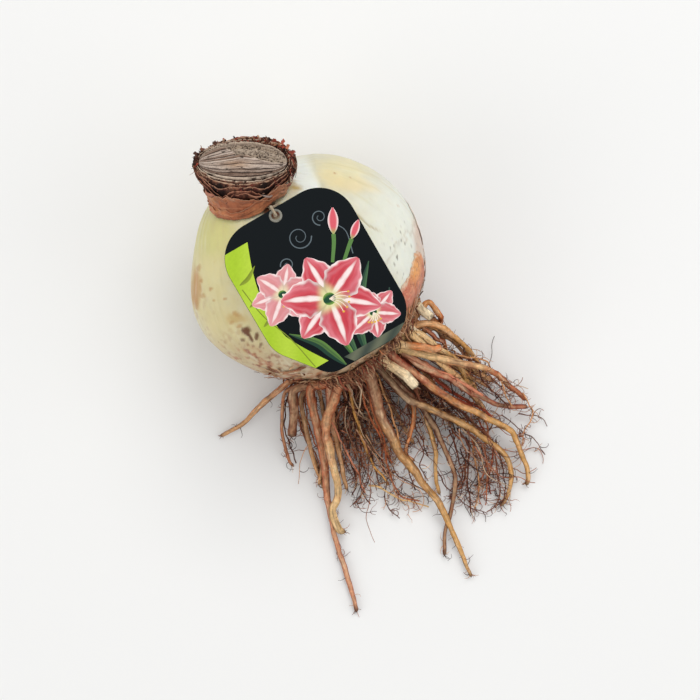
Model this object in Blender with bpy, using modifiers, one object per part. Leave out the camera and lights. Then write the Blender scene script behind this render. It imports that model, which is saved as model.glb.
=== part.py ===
"""Amaryllis bulb, lifted and cut back, lying on its side.

A fleshy bulb with the dry stump, fibrous sleeve and papery collar of its neck, a dry skin round
its base, bare roots on their basal plate, and a hang label on a loop of string.

Metres, +Z up. The origin is the middle of the small flat spot of the belly that the bulb lies on,
and +X runs from the neck towards the roots.
"""

import math
import random

import bmesh
import bpy
from mathutils import Vector, noise

NAME = "amaryllis_bulb"
SEED = 11
MM = 0.001

# Bulb: half its width and half its length along the axis, which dips towards the roots
BULB_HALF_WIDTH = 50.5 * MM
BULB_HALF_LENGTH = 48.0 * MM
AXIS_DIP = math.radians(27)
BASE_FLAT = 43.0 * MM
BULB_MIDDLE = Vector((2.0, 0.0, 49.2)) * MM
ROOT_WAY = Vector((math.cos(AXIS_DIP), 0.0, -math.sin(AXIS_DIP)))
UP_WAY = Vector((math.sin(AXIS_DIP), 0.0, math.cos(AXIS_DIP)))
SIDE_WAY = Vector((0.0, 1.0, 0.0))
BULB_SIDES = 40
BULB_RINGS = 24

# Swellings of the bulb: way from its middle, height, and spread in degrees
SWELLINGS = (
    (Vector((-0.74, -0.36, 0.55)), 7.2 * MM, 23.0),
    (Vector((-0.08, -1.00, -0.05)), 3.8 * MM, 26.0),
    (Vector((-0.30, 0.95, 0.00)), 1.3 * MM, 42.0),
)

# Neck: its cut end, the way it points, and half its width and depth at the cut and lower down
CUT_MIDDLE = BULB_MIDDLE + Vector((-50.7, 0.6, 43.0)) * MM
NECK_WAY = Vector((-0.66, 0.43, 0.62)).normalized()
NECK_ACROSS = Vector((0.541, 0.841, 0.0))
NECK_ACROSS = (NECK_ACROSS - NECK_WAY * NECK_ACROSS.dot(NECK_WAY)).normalized()
NECK_FRONT = NECK_ACROSS.cross(NECK_WAY)
STUMP_HALF = (18.4 * MM, 13.2 * MM)
STUMP_WAIST = (13.4 * MM, 11.4 * MM)
WAIST_DEPTH = 22.0 * MM
NECK_LEAN = 1.6 * MM
LEAF_BASES = 7
LEAF_RIDGE = 0.45 * MM

# Dry layers round the stump: distance from it, and thickness
GAP = 0.35 * MM
SLEEVE_WALL = 0.9 * MM
COLLAR_OUT = 1.9 * MM
COLLAR_WALL = 1.1 * MM
SLEEVE_LIFT = 2.6 * MM

# Dry skin on the bulb's base and flank
SKIN_WALL = 0.8 * MM
SKIN_LIFT = 0.5 * MM

# Basal plate and roots
PLATE_HALF_WIDTH = 21.5 * MM
PLATE_DEPTH = 7.0 * MM
ROOT_SEAT_RING = 16.0 * MM
FLOOR_GAP = 0.4 * MM
HIDDEN_ROOTS = 15
MAT_STRANDS = 28
FAN_REACH = 92.0 * MM
FAN_TURN = (-42.0, 34.0)

# Hang label
LABEL_WIDTH = 59.0 * MM
LABEL_LENGTH = 73.5 * MM
LABEL_THICK = 0.6 * MM
LABEL_CORNER = 16.0 * MM
LABEL_CUT = (16.3 * MM, 21.7 * MM)
LABEL_CUT_BEND = 5.0 * MM
LABEL_BEND = 190.0 * MM
LABEL_SPOT = (9.7 * MM, -1.6 * MM)
LABEL_TURN = math.radians(-2.7)
LABEL_BANDS = 12
HOLE_RADIUS = 2.0 * MM
HOLE_INSET = 3.1 * MM
HOLE_DOWN = HOLE_INSET - LABEL_LENGTH / 2
HOLE_SIDES = 16
EYELET_BORE = 1.2 * MM
EYELET_RIM = 2.6 * MM
EYELET_SLEEVE = 1.65 * MM
EYELET_WALL = 0.5 * MM
STRING_RADIUS = 0.5 * MM
STRING_EXIT = math.radians(48)
STRING_PARTING = math.radians(9)

# Roots in sight, each with its radius at the plate and at its tip, and its route in millimetres
ROOT_ROUTES = {
    "left_low": (1.9, 0.8, [(39, -35, 15), (42, -53, 8), (44, -64, 4.5), (43, -76, 3)]),
    "left_stub": (2.3, 2.1, [(44, -35, 22), (52, -41, 20), (61, -48, 16)]),
    "left_thin": (1.0, 0.6, [(43, -39, 12), (54, -49, 8), (68, -55, 4), (73, -55, 3)]),
    "left_back": (1.3, 0.8, [(48, -33, 14), (62, -41, 9), (86, -48, 3.5), (95, -49, 2.5)]),
    "long_left": (2.1, 0.9, [(48, -29, 24), (71, -39, 15), (90, -48, 6), (103, -53, 4),
                             (115, -58, 2.4), (137, -64, 2), (145, -67, 1.8)]),
    "pale_hook": (2.3, 1.5, [(51, -15, 33), (63, -30, 28), (73, -36, 22), (93, -44, 10),
                             (100, -51, 6), (108, -53, 5), (111, -51, 4)]),
    "long_mid": (2.8, 1.0, [(53, -2, 36), (64, -5, 33), (78, -9, 27), (109, -10, 12),
                            (124, -8, 7), (139, -10, 4), (160, -14, 2)]),
    "red_long": (2.0, 1.0, [(50, 9, 37), (67, 14, 32), (88, 23, 21), (109, 36, 11),
                            (118, 37, 8), (133, 34, 4), (138, 30, 2.5)]),
    "pale_stub": (2.4, 2.2, [(51, 5, 36), (61, 9, 35), (72, 12, 32)]),
    "brown_long": (1.9, 0.9, [(55, 2, 30), (75, 6, 24), (97, 20, 15), (118, 29, 7),
                              (128, 28, 4.5), (136, 22, 3), (140, 15, 2)]),
    "top_stub": (2.0, 1.6, [(48, 12, 40), (53, 16, 40), (61, 26, 39), (63, 31, 37)]),
    "right_long": (2.0, 1.0, [(54, 16, 35), (63, 24, 34), (81, 42, 24), (98, 49, 9), (105, 51, 4)]),
    "right_red": (1.7, 1.0, [(58, 16, 31), (69, 20, 29), (80, 28, 25), (98, 38, 13), (108, 50, 6)]),
    "orange_a": (2.0, 1.4, [(43, 36, 29), (46, 38, 29), (51, 38, 25), (54, 37, 18)]),
    "orange_b": (1.8, 1.2, [(44, 33, 26), (52, 35, 22), (59, 34, 15), (66, 33, 8)]),
    "upper_tan": (1.7, 0.9, [(49, 26, 34), (53, 34, 33), (67, 40, 20), (81, 42, 6), (85, 42, 3)]),
    "pale_a": (1.9, 1.0, [(47, 20, 38), (58, 24, 35), (68, 27, 30), (93, 32, 12), (103, 32, 5)]),
    "pale_b": (1.8, 1.0, [(51, 25, 34), (62, 29, 30), (72, 33, 22), (93, 32, 6)]),
    "black_tip": (1.7, 0.8, [(62, 7, 20), (88, 9, 12), (109, 7, 7), (118, 4, 5), (128, -4, 4),
                             (135, -12, 2.5), (145, -19, 1.8)]),
    "orange_mid": (1.7, 0.8, [(60, 6, 18), (78, 7, 11), (86, 2, 8), (95, -8, 4), (101, -7, 3)]),
    "yellow_mid": (1.6, 0.8, [(62, 10, 18), (76, 11, 13), (100, 4, 6), (111, -2, 4), (120, -6, 2.5)]),
}


def clear_scene():
    for item in list(bpy.data.objects):
        bpy.data.objects.remove(item, do_unlink=True)


def new_collection(name):
    collection = bpy.data.collections.new(name)
    bpy.context.scene.collection.children.link(collection)
    return collection


def material(name, colour, roughness, metallic=0.0):
    mat = bpy.data.materials.new(name)
    mat.use_nodes = True
    shader = mat.node_tree.nodes["Principled BSDF"]
    shader.inputs["Base Color"].default_value = (*colour, 1.0)
    shader.inputs["Roughness"].default_value = roughness
    shader.inputs["Metallic"].default_value = metallic
    return mat


def face_outward(bm):
    """Turn the faces of a closed mesh to point out of it."""
    bmesh.ops.recalc_face_normals(bm, faces=bm.faces)
    if bm.calc_volume(signed=True) < 0.0:
        bmesh.ops.reverse_faces(bm, faces=bm.faces)


def object_from(bm, name, collection, mat=None):
    """An object with a smooth shaded mesh made from a bmesh, which is freed."""
    mesh = bpy.data.meshes.new(name)
    bm.to_mesh(mesh)
    bm.free()
    mesh.shade_smooth()
    mesh.set_sharp_from_angle(angle=math.radians(50))
    if mat:
        mesh.materials.append(mat)
    made = bpy.data.objects.new(name, mesh)
    collection.objects.link(made)
    return made


def apply_modifiers(item):
    """Replace an object's mesh by what its modifiers make of it."""
    depsgraph = bpy.context.evaluated_depsgraph_get()
    mesh = bpy.data.meshes.new_from_object(item.evaluated_get(depsgraph))
    item.modifiers.clear()
    item.data = mesh


def hide_cutter(item):
    item.hide_render = True
    item.display_type = "WIRE"


def subtract(item, cutter):
    cut = item.modifiers.new("cut", "BOOLEAN")
    cut.operation = "DIFFERENCE"
    cut.solver = "EXACT"
    cut.object = cutter


def smooth_step(value):
    value = min(max(value, 0.0), 1.0)
    return value * value * (3.0 - 2.0 * value)


def bulb_radius(way):
    """Distance from the bulb's middle to its skin along the unit vector way."""
    along = way.dot(ROOT_WAY)
    across = math.sqrt(max(0.0, 1.0 - along * along))
    radius = 1.0 / math.hypot(across / BULB_HALF_WIDTH, along / BULB_HALF_LENGTH)
    for centre, height, spread in SWELLINGS:
        turn = math.degrees(way.angle(centre))
        radius += height * math.exp(-(turn / spread) ** 2)
    if along > 0.0:
        radius = min(radius, BASE_FLAT / along)
    return radius


def bulb_height(point):
    """How far a point stands off the bulb's skin, less than zero inside it."""
    offset = point - BULB_MIDDLE
    return offset.length - bulb_radius(offset.normalized())


def on_bulb(turn, fall, lift):
    """Point on the bulb by its turn about the axis and its fall from the root end, in degrees."""
    turn = math.radians(turn)
    fall = math.radians(fall)
    ring = UP_WAY * math.cos(turn) + SIDE_WAY * math.sin(turn)
    way = ROOT_WAY * math.cos(fall) + ring * math.sin(fall)
    return BULB_MIDDLE + way * (bulb_radius(way) + lift)


def bulb_body(name, lift, collection, mat=None):
    """The bulb's form, with its skin lifted by a distance."""
    bm = bmesh.new()
    bmesh.ops.create_uvsphere(bm, u_segments=BULB_SIDES, v_segments=BULB_RINGS, radius=1.0)
    for vert in bm.verts:
        way = UP_WAY * vert.co.x + SIDE_WAY * vert.co.y + ROOT_WAY * vert.co.z
        way.normalize()
        vert.co = BULB_MIDDLE + way * (bulb_radius(way) + lift)
    face_outward(bm)
    return object_from(bm, name, collection, mat)


def build_bulb(parts, cutters):
    mat = material("bulb_scale", (0.78, 0.72, 0.47), 0.42)
    bulb = bulb_body("bulb", 0.0, parts, mat)
    size = 4.0 * BULB_HALF_WIDTH
    bm = bmesh.new()
    bmesh.ops.create_cube(bm, size=size)
    bmesh.ops.translate(bm, verts=bm.verts, vec=(0.0, 0.0, -size / 2))
    floor = object_from(bm, "floor_cutter", cutters)
    hide_cutter(floor)
    subtract(bulb, floor)
    return bulb


def neck_half(depth):
    """Half the stump's width and depth at a distance below the cut."""
    part = smooth_step(depth / WAIST_DEPTH)
    return [cut + (waist - cut) * part for cut, waist in zip(STUMP_HALF, STUMP_WAIST)]


def neck_point(across, front, depth):
    """Point by its place in the neck's section, which leans to one side as it goes down."""
    lean = NECK_LEAN * smooth_step(depth / WAIST_DEPTH)
    return CUT_MIDDLE + NECK_ACROSS * (across + lean) + NECK_FRONT * front - NECK_WAY * depth


def neck_oval(angle, out, depth):
    half_across, half_front = neck_half(depth)
    return neck_point((half_across + out) * math.cos(angle), (half_front + out) * math.sin(angle), depth)


def neck_depth(angle, out, lift):
    """Depth below the cut where the neck's wall comes down to a height over the bulb's skin."""
    low = 2.0 * MM
    high = 40.0 * MM
    for _ in range(40):
        middle = (low + high) / 2
        if bulb_height(neck_oval(angle, out, middle)) > lift:
            low = middle
        else:
            high = middle
    return low


def build_stump(parts, cutters):
    """The cut leaf bases: an oval column whose end has a ridge along each lens of leaf tissue."""
    reach = 0.985
    bm = bmesh.new()
    bmesh.ops.create_grid(bm, x_segments=18, y_segments=2 * LEAF_BASES, size=1.0)
    half_across, half_front = STUMP_HALF
    for vert in bm.verts:
        along = math.sin(vert.co.x * math.asin(reach))
        lens = vert.co.y
        ridge = LEAF_RIDGE * math.cos(lens * LEAF_BASES * math.pi) * (1.0 - along ** 4)
        vert.co = neck_point(half_across * along,
                             half_front * lens * math.sqrt(1.0 - along * along), -ridge)
    bmesh.ops.recalc_face_normals(bm, faces=bm.faces)
    region = bm.faces[:]
    depth = 0.0
    for step in (4.0 * MM, 7.0 * MM, 8.0 * MM, 16.0 * MM):
        before = depth
        middle = neck_point(0.0, 0.0, before)
        depth += step
        made = bmesh.ops.extrude_face_region(bm, geom=region)
        if before > 0.0:
            bmesh.ops.delete(bm, geom=region, context="FACES_ONLY")
        region = [item for item in made["geom"] if isinstance(item, bmesh.types.BMFace)]
        moved = {vert for face in region for vert in face.verts}
        old = neck_half(before)
        new = neck_half(depth)
        for vert in moved:
            offset = vert.co - middle
            across = offset.dot(NECK_ACROSS) * new[0] / old[0]
            front = offset.dot(NECK_FRONT) * new[1] / old[1]
            vert.co = neck_point(across, front, depth)
    face_outward(bm)
    mat = material("cut_leaf_bases", (0.36, 0.31, 0.26), 0.85)
    stump = object_from(bm, "neck_stump", parts, mat)
    over_bulb = bulb_body("shoulder_cutter", 0.4 * MM, cutters)
    hide_cutter(over_bulb)
    subtract(stump, over_bulb)
    return stump


def sheet_grid(columns, rows, place, closed):
    """A grid of faces laid out by place(u, v), joined end to end along u where it is closed."""
    bm = bmesh.new()
    bmesh.ops.create_grid(bm, x_segments=columns, y_segments=rows, size=1.0)
    for vert in bm.verts:
        vert.co = place((vert.co.x + 1.0) / 2.0, (vert.co.y + 1.0) / 2.0)
    if closed:
        bmesh.ops.remove_doubles(bm, verts=bm.verts, dist=0.02 * MM)
    return bm


def thicken(item, wall, middle):
    """Give an open sheet its wall, on the side that faces away from a point."""
    first = item.data.polygons[0]
    away = first.center - middle
    solid = item.modifiers.new("wall", "SOLIDIFY")
    solid.thickness = wall
    solid.offset = 1.0 if first.normal.dot(away) > 0.0 else -1.0
    solid.use_even_offset = True


def sleeve_rim(angle):
    """Depth of the sleeve's torn rim: it stands above the cut, most of all at the back right."""
    rough = noise.noise(Vector((math.cos(angle) * 4.0, math.sin(angle) * 4.0, 2.0)))
    fine = noise.noise(Vector((math.cos(angle) * 11.0, math.sin(angle) * 11.0, 7.0)))
    back = 0.5 - 0.5 * math.sin(angle - math.radians(20))
    corner = math.remainder(angle - math.radians(305), 2.0 * math.pi)
    tall = math.exp(-(corner / math.radians(38)) ** 2)
    return (0.8 - 2.0 * back - 3.4 * tall - 1.6 * rough - 1.1 * fine) * MM


def build_sleeve(parts):
    """The dark fibrous layers close round the stump, with a torn rim."""
    def place(u, v):
        angle = 2.0 * math.pi * u
        top = sleeve_rim(angle)
        bottom = neck_depth(angle, GAP, SLEEVE_LIFT)
        depth = top + (bottom - top) * (1.0 - v) ** 1.3
        pleat = 0.18 * MM * (1.0 + math.sin(angle * 9.0 + 4.0 * v))
        curl = 0.5 * MM * smooth_step((v - 0.7) / 0.3)
        return neck_oval(angle, GAP + pleat * v + curl, depth)

    bm = sheet_grid(42, 4, place, closed=True)
    mat = material("dry_fibre", (0.17, 0.085, 0.045), 0.9)
    sleeve = object_from(bm, "neck_sleeve", parts, mat)
    thicken(sleeve, SLEEVE_WALL, neck_point(0.0, 0.0, 8.0 * MM))
    return sleeve


def collar_rim(angle):
    """Depth of the collar's upper edge, which is highest at the right."""
    right = 0.5 + 0.5 * math.cos(angle)
    rough = noise.noise(Vector((math.cos(angle) * 3.0, math.sin(angle) * 3.0, 5.0)))
    fine = noise.noise(Vector((math.cos(angle) * 9.0, math.sin(angle) * 9.0, 1.0)))
    return (7.5 - 3.0 * right - 1.8 * rough - 1.2 * fine) * MM


def collar_lip_lift(angle):
    """Height of the collar's lower lip over the bulb, lifted where the string comes out."""
    turn = math.remainder(angle - STRING_EXIT, 2.0 * math.pi)
    rough = 0.3 * MM * (1.0 + noise.noise(Vector((math.cos(angle) * 6.0, math.sin(angle) * 6.0, 3.0))))
    return 0.5 * MM + rough + 2.4 * MM * math.exp(-(turn / math.radians(17)) ** 2)


def build_collar(parts):
    """The papery collar of dry tunic, with a curled upper edge and a lip under which the string runs."""
    def place(u, v):
        angle = 2.0 * math.pi * u
        lift = collar_lip_lift(angle)
        flare = COLLAR_OUT + 0.3 * MM
        bottom = min(neck_depth(angle, flare, lift), neck_depth(angle, flare + COLLAR_WALL, lift))
        top = min(collar_rim(angle), bottom - 3.0 * MM)
        depth = top + (bottom - top) * (1.0 - v)
        pleat = 0.15 * MM * (1.0 + math.sin(angle * 7.0 + 2.0 * v))
        curl = 0.9 * MM * smooth_step((v - 0.75) / 0.25) + 0.3 * MM * (1.0 - v)
        return neck_oval(angle, COLLAR_OUT + pleat * (1.0 - v) + curl, depth)

    bm = sheet_grid(44, 5, place, closed=True)
    mat = material("dry_tunic", (0.46, 0.21, 0.10), 0.7)
    collar = object_from(bm, "tunic_collar", parts, mat)
    thicken(collar, COLLAR_WALL, neck_point(0.0, 0.0, 8.0 * MM))
    return collar


def build_base_skin(parts):
    """A ragged ring of dry skin round the bulb's base, outside the basal plate."""
    def place(u, v):
        turn = 360.0 * u
        angle = math.radians(turn)
        rough = noise.noise(Vector((math.cos(angle) * 2.5, math.sin(angle) * 2.5, 9.0)))
        fine = noise.noise(Vector((math.cos(angle) * 8.0, math.sin(angle) * 8.0, 4.0)))
        left = math.remainder(turn - 300.0, 360.0)
        edge = 43.0 + 7.0 * rough + 4.0 * fine + 5.0 * math.exp(-(left / 40.0) ** 2)
        fall = 30.5 + (edge - 30.5) * v
        lift = SKIN_LIFT + 0.9 * MM * v ** 3 * (1.0 + fine)
        return on_bulb(turn, fall, lift)

    bm = sheet_grid(48, 3, place, closed=True)
    mat = material("base_skin", (0.33, 0.19, 0.10), 0.85)
    skin = object_from(bm, "base_skin", parts, mat)
    thicken(skin, SKIN_WALL, BULB_MIDDLE)
    return skin


def build_flank_skin(parts):
    """What is left of the tunic on one flank: a sheet with a torn edge, split into straps."""
    straps = 5

    def place(u, v):
        turn = 30.0 + 102.0 * u
        angle = math.radians(turn * 6.0)
        rough = noise.noise(Vector((turn * 0.09, 0.0, 3.0)))
        torn = 0.5 + 0.5 * math.cos(2.0 * math.pi * straps * u)
        upper = 73.0 + 4.0 * math.sin(angle * 0.35) + 5.0 * rough - 7.0 * u
        lower = 58.0 - 3.0 * torn + 1.5 * u
        fall = lower + (upper - lower) * v
        lift = SKIN_LIFT + 1.3 * MM * v ** 4 + 0.25 * MM * math.sin(turn * 0.31) ** 2
        return on_bulb(turn + 2.0 * math.sin(v * 4.0), fall, lift)

    bm = sheet_grid(24, 6, place, closed=False)
    mat = material("tunic_skin", (0.55, 0.30, 0.15), 0.7)
    skin = object_from(bm, "flank_skin", parts, mat)
    thicken(skin, SKIN_WALL, BULB_MIDDLE)
    return skin


def spline_points(route, count):
    """Points spaced along a smooth curve through the route."""
    ends = [route[0] * 2 - route[1]] + list(route) + [route[-1] * 2 - route[-2]]
    dense = []
    for a, b, c, d in zip(ends, ends[1:], ends[2:], ends[3:]):
        for step in range(8):
            t = step / 8
            dense.append(0.5 * ((2 * b) + (c - a) * t + (2 * a - 5 * b + 4 * c - d) * t * t
                                + (3 * b - a - 3 * c + d) * t ** 3))
    dense.append(route[-1].copy())
    lengths = [0.0]
    for a, b in zip(dense, dense[1:]):
        lengths.append(lengths[-1] + (b - a).length)
    points = []
    index = 0
    for step in range(count):
        goal = lengths[-1] * step / (count - 1)
        while index < len(dense) - 2 and lengths[index + 1] < goal:
            index += 1
        part = (goal - lengths[index]) / max(1e-9, lengths[index + 1] - lengths[index])
        points.append(dense[index].lerp(dense[index + 1], part))
    return points


def off_bulb(point, need):
    """The point, moved out where it stands less than a distance off the bulb's skin."""
    short = need - bulb_height(point)
    if short <= 0.0:
        return point.copy()
    return point + (point - BULB_MIDDLE).normalized() * short


def keep_clear(point, radius):
    """Bend a point out of the bulb and the dry skin on it, and up off the surface below."""
    fall = math.degrees((point - BULB_MIDDLE).angle(ROOT_WAY))
    moved = point.copy()
    if fall > 28.0:
        moved = off_bulb(point, radius + SKIN_LIFT + SKIN_WALL + 1.2 * MM)
    moved.z = max(moved.z, radius + FLOOR_GAP)
    return moved


def tube(name, points, radii, sides_from, collection, cyclic=False):
    """A round or three-sided tube through points, as a closed mesh."""
    curve = bpy.data.curves.new(name, "CURVE")
    curve.dimensions = "3D"
    if sides_from == "round":
        curve.bevel_depth = 1.0 * MM
        curve.bevel_resolution = 1
    elif sides_from == "string":
        curve.bevel_depth = 1.0 * MM
        curve.bevel_resolution = 2
    else:
        curve.bevel_mode = "OBJECT"
        curve.bevel_object = sides_from
    curve.use_fill_caps = not cyclic
    spline = curve.splines.new("POLY")
    spline.points.add(len(points) - 1)
    for slot, point, radius in zip(spline.points, points, radii):
        slot.co = (*point, 1.0)
        slot.radius = radius / MM
    spline.use_cyclic_u = cyclic
    source = bpy.data.objects.new(name, curve)
    collection.objects.link(source)
    depsgraph = bpy.context.evaluated_depsgraph_get()
    mesh = bpy.data.meshes.new_from_object(source.evaluated_get(depsgraph))
    bpy.data.objects.remove(source, do_unlink=True)
    bm = bmesh.new()
    bm.from_mesh(mesh)
    bmesh.ops.remove_doubles(bm, verts=bm.verts, dist=0.005 * MM)
    face_outward(bm)
    return object_from(bm, name, collection)


def triangle_section(cutters):
    """A three-sided outline, 1 mm from its middle to its corners, that fine roots are swept with."""
    curve = bpy.data.curves.new("fine_root_section", "CURVE")
    curve.dimensions = "2D"
    spline = curve.splines.new("POLY")
    spline.points.add(2)
    for index, slot in enumerate(spline.points):
        angle = 2.0 * math.pi * index / 3.0
        slot.co = (math.cos(angle) * MM, math.sin(angle) * MM, 0.0, 1.0)
    spline.use_cyclic_u = True
    section = bpy.data.objects.new("fine_root_section", curve)
    cutters.objects.link(section)
    hide_cutter(section)
    return section


def plate_seat(point, ring):
    """Point inside the basal plate that lies towards a point outside it."""
    middle = BULB_MIDDLE + ROOT_WAY * (BASE_FLAT + 3.0 * MM)
    way = point - middle
    way -= ROOT_WAY * way.dot(ROOT_WAY)
    reach = min(ring, way.length)
    return middle + way.normalized() * reach


def build_plate(collection):
    """The basal plate: a low turned dome on the bulb's flat base."""
    profile = ((0.0, 1.0), (0.35, 0.97), (0.75, 0.85), (0.97, 0.5), (1.0, 0.22), (0.93, 0.0), (0.0, 0.0))
    bm = bmesh.new()
    verts = [bm.verts.new((x * PLATE_HALF_WIDTH, 0.0, GAP + z * PLATE_DEPTH)) for x, z in profile]
    for a, b in zip(verts, verts[1:]):
        bm.edges.new((a, b))
    plate = object_from(bm, "roots", collection)
    turn = plate.modifiers.new("turn", "SCREW")
    turn.steps = 28
    turn.render_steps = 28
    turn.axis = "Z"
    turn.use_merge_vertices = True
    turn.merge_threshold = 0.01 * MM
    apply_modifiers(plate)
    base = BULB_MIDDLE + ROOT_WAY * BASE_FLAT
    for vert in plate.data.vertices:
        local = vert.co.copy()
        vert.co = base - UP_WAY * local.x + SIDE_WAY * local.y + ROOT_WAY * local.z
    return plate


def keep_largest_shell(item):
    """Drop loose scraps and sealed hollows: keep the connected shell with the most faces."""
    bm = bmesh.new()
    bm.from_mesh(item.data)
    left = set(bm.faces)
    shells = []
    while left:
        stack = [left.pop()]
        shell = []
        while stack:
            face = stack.pop()
            shell.append(face)
            for edge in face.edges:
                for other in edge.link_faces:
                    if other in left:
                        left.remove(other)
                        stack.append(other)
        shells.append(shell)
    shells.sort(key=len)
    for shell in shells[:-1]:
        bmesh.ops.delete(bm, geom=shell, context="FACES")
    bm.to_mesh(item.data)
    bm.free()


def hidden_route(index, rng):
    """Route of a root under the others: out of the plate's lower half, then along the surface."""
    share = (index + 0.5) / HIDDEN_ROOTS
    turn = math.radians(80.0 + 200.0 * share)
    ring = UP_WAY * math.cos(turn) + SIDE_WAY * math.sin(turn)
    start = BULB_MIDDLE + ROOT_WAY * (BASE_FLAT + 3.0 * MM) + ring * 15.0 * MM
    heading = math.radians(28.0 * math.sin(turn) + rng.uniform(-5.0, 5.0))
    way = Vector((math.cos(heading), math.sin(heading), 0.0))
    side = Vector((-way.y, way.x, 0.0))
    length = rng.uniform(34.0, 58.0) * MM
    bend = rng.uniform(-0.16, 0.16)
    route = [start, start + ring * 5.0 * MM + ROOT_WAY * 7.0 * MM]
    for part in (0.35, 0.65, 1.0):
        point = route[1] + way * length * part + side * length * bend * part * part
        point.z = route[1].z * (1.0 - part) ** 2 + rng.uniform(2.0, 5.0) * MM
        route.append(point)
    return route


def root_lines(rng):
    """Every thick root as a list of points and radii."""
    lines = []
    for radius, tip, route in ROOT_ROUTES.values():
        route = [Vector(point) * MM for point in route]
        seat = plate_seat(route[0], ROOT_SEAT_RING)
        step_out = seat.lerp(route[0], 0.45) + ROOT_WAY * 4.0 * MM
        route = [seat, step_out] + route
        lines.append((route, radius * MM, tip * MM))
    for index in range(HIDDEN_ROOTS):
        lines.append((hidden_route(index, rng), rng.uniform(1.3, 2.0) * MM, 0.8 * MM))
    made = []
    for route, radius, tip in lines:
        length = sum((b - a).length for a, b in zip(route, route[1:]))
        count = max(6, int(length / (11.0 * MM)))
        points = spline_points(route, count)
        radii = [radius + (tip - radius) * (step / (count - 1)) ** 1.2 for step in range(count)]
        points = points[:1] + [keep_clear(p, r) for p, r in zip(points[1:], radii[1:])]
        made.append((points, radii))
    return made


def in_fan(point):
    """Whether a point is in the fan of ground that the fine roots fill."""
    offset = point - (BULB_MIDDLE + ROOT_WAY * BASE_FLAT)
    reach = math.hypot(offset.x, offset.y)
    turn = math.degrees(math.atan2(offset.y, offset.x))
    return reach < FAN_REACH and FAN_TURN[0] < turn < FAN_TURN[1]


def rootlet(parent, station, rng):
    """A fine root that leaves a thick one and wanders down to the surface."""
    points, _ = parent
    index = min(int(station * (len(points) - 1)), len(points) - 2)
    start = points[index].lerp(points[index + 1], station * (len(points) - 1) - index)
    along = (points[index + 1] - points[index]).normalized()
    side = Vector((0.0, 0.0, 1.0)).cross(along).normalized() * rng.choice((-1.0, 1.0))
    length = rng.uniform(8.0, 20.0) * MM
    way = (along * rng.uniform(0.2, 0.9) + side * rng.uniform(0.5, 1.0)
           + Vector((0.0, 0.0, rng.uniform(-0.5, 0.3)))).normalized()
    route = [start]
    for _ in range(4):
        route.append(route[-1] + way * length / 4)
        way = (way + Vector((rng.uniform(-0.5, 0.5), rng.uniform(-0.5, 0.5), rng.uniform(-0.45, 0.2)))
               + along * 0.15).normalized()
    return route


def mat_strand(rng):
    """A long fine root of the two brown mats that fill the fan between the thick roots."""
    left = rng.random() < 0.5
    heading = math.radians(rng.uniform(-33.0, -6.0) if left else rng.uniform(2.0, 30.0))
    way = Vector((math.cos(heading), math.sin(heading), 0.0))
    start = plate_seat(BULB_MIDDLE + ROOT_WAY * 60.0 * MM + way * 20.0 * MM, ROOT_SEAT_RING)
    start += ROOT_WAY * 1.0 * MM
    length = rng.uniform(50.0, 74.0 if left else 92.0) * MM
    high = rng.uniform(3.0, 16.0) * MM
    route = [start]
    for part in (0.25, 0.45, 0.65, 0.85, 1.0):
        point = start + way * length * part
        point += Vector((rng.uniform(-1, 1), rng.uniform(-1, 1), 0.0)) * 4.0 * MM * part
        point.z = start.z * (1.0 - part) ** 2 + high * math.sin(math.pi * part) ** 2 + 1.5 * MM
        route.append(point)
    return route


def build_roots(parts, cutters):
    rng = random.Random(SEED)
    bunch = new_collection("root_bunch")
    section = triangle_section(cutters)
    lines = root_lines(rng)
    for index, (points, radii) in enumerate(lines):
        tube("root_%d" % index, points, radii, "round", bunch)
    fine = [mat_strand(rng) for _ in range(MAT_STRANDS)]
    for parent in lines:
        length = sum((b - a).length for a, b in zip(parent[0], parent[0][1:]))
        for _ in range(int(length / (14.0 * MM))):
            route = rootlet(parent, rng.uniform(0.35, 0.97), rng)
            if all(in_fan(point) for point in route):
                fine.append(route)
    for index, route in enumerate(fine):
        count = 5 if len(route) < 6 else 8
        points = spline_points(route, count)
        radii = [0.62 * MM - 0.18 * MM * step / (count - 1) for step in range(count)]
        points = points[:1] + [keep_clear(p, r) for p, r in zip(points[1:], radii[1:])]
        tube("fine_%d" % index, points, radii, section, bunch)
    roots = build_plate(parts)
    roots.data.materials.append(material("root_skin", (0.42, 0.21, 0.10), 0.75))
    join = roots.modifiers.new("join", "BOOLEAN")
    join.operation = "UNION"
    join.operand_type = "COLLECTION"
    join.collection = bunch
    join.solver = "MANIFOLD"
    apply_modifiers(roots)
    keep_largest_shell(roots)
    roots.data.shade_smooth()
    for item in list(bunch.objects):
        bpy.data.objects.remove(item, do_unlink=True)
    bpy.data.collections.remove(bunch)
    bpy.data.objects.remove(section, do_unlink=True)
    return roots


def skin_normal(point):
    """Outward way at a point near the bulb's skin."""
    step = 0.5 * MM
    slopes = []
    for axis in range(3):
        ahead = point.copy()
        behind = point.copy()
        ahead[axis] += step
        behind[axis] -= step
        slopes.append(bulb_height(ahead) - bulb_height(behind))
    return Vector(slopes).normalized()


def label_frame():
    """Seat of the label on top of the bulb, with its right, down and outward ways."""
    seat = BULB_MIDDLE + Vector((LABEL_SPOT[0], LABEL_SPOT[1], 0.0))
    low = 0.0
    high = 2.0 * BULB_HALF_WIDTH
    for _ in range(40):
        middle = (low + high) / 2
        if bulb_height(seat + Vector((0.0, 0.0, middle))) < 0.0:
            low = middle
        else:
            high = middle
    seat.z += low
    out = skin_normal(seat)
    down = Vector((math.cos(LABEL_TURN), math.sin(LABEL_TURN), 0.0))
    down = (down - out * down.dot(out)).normalized()
    return seat, out.cross(down), down, out


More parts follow.
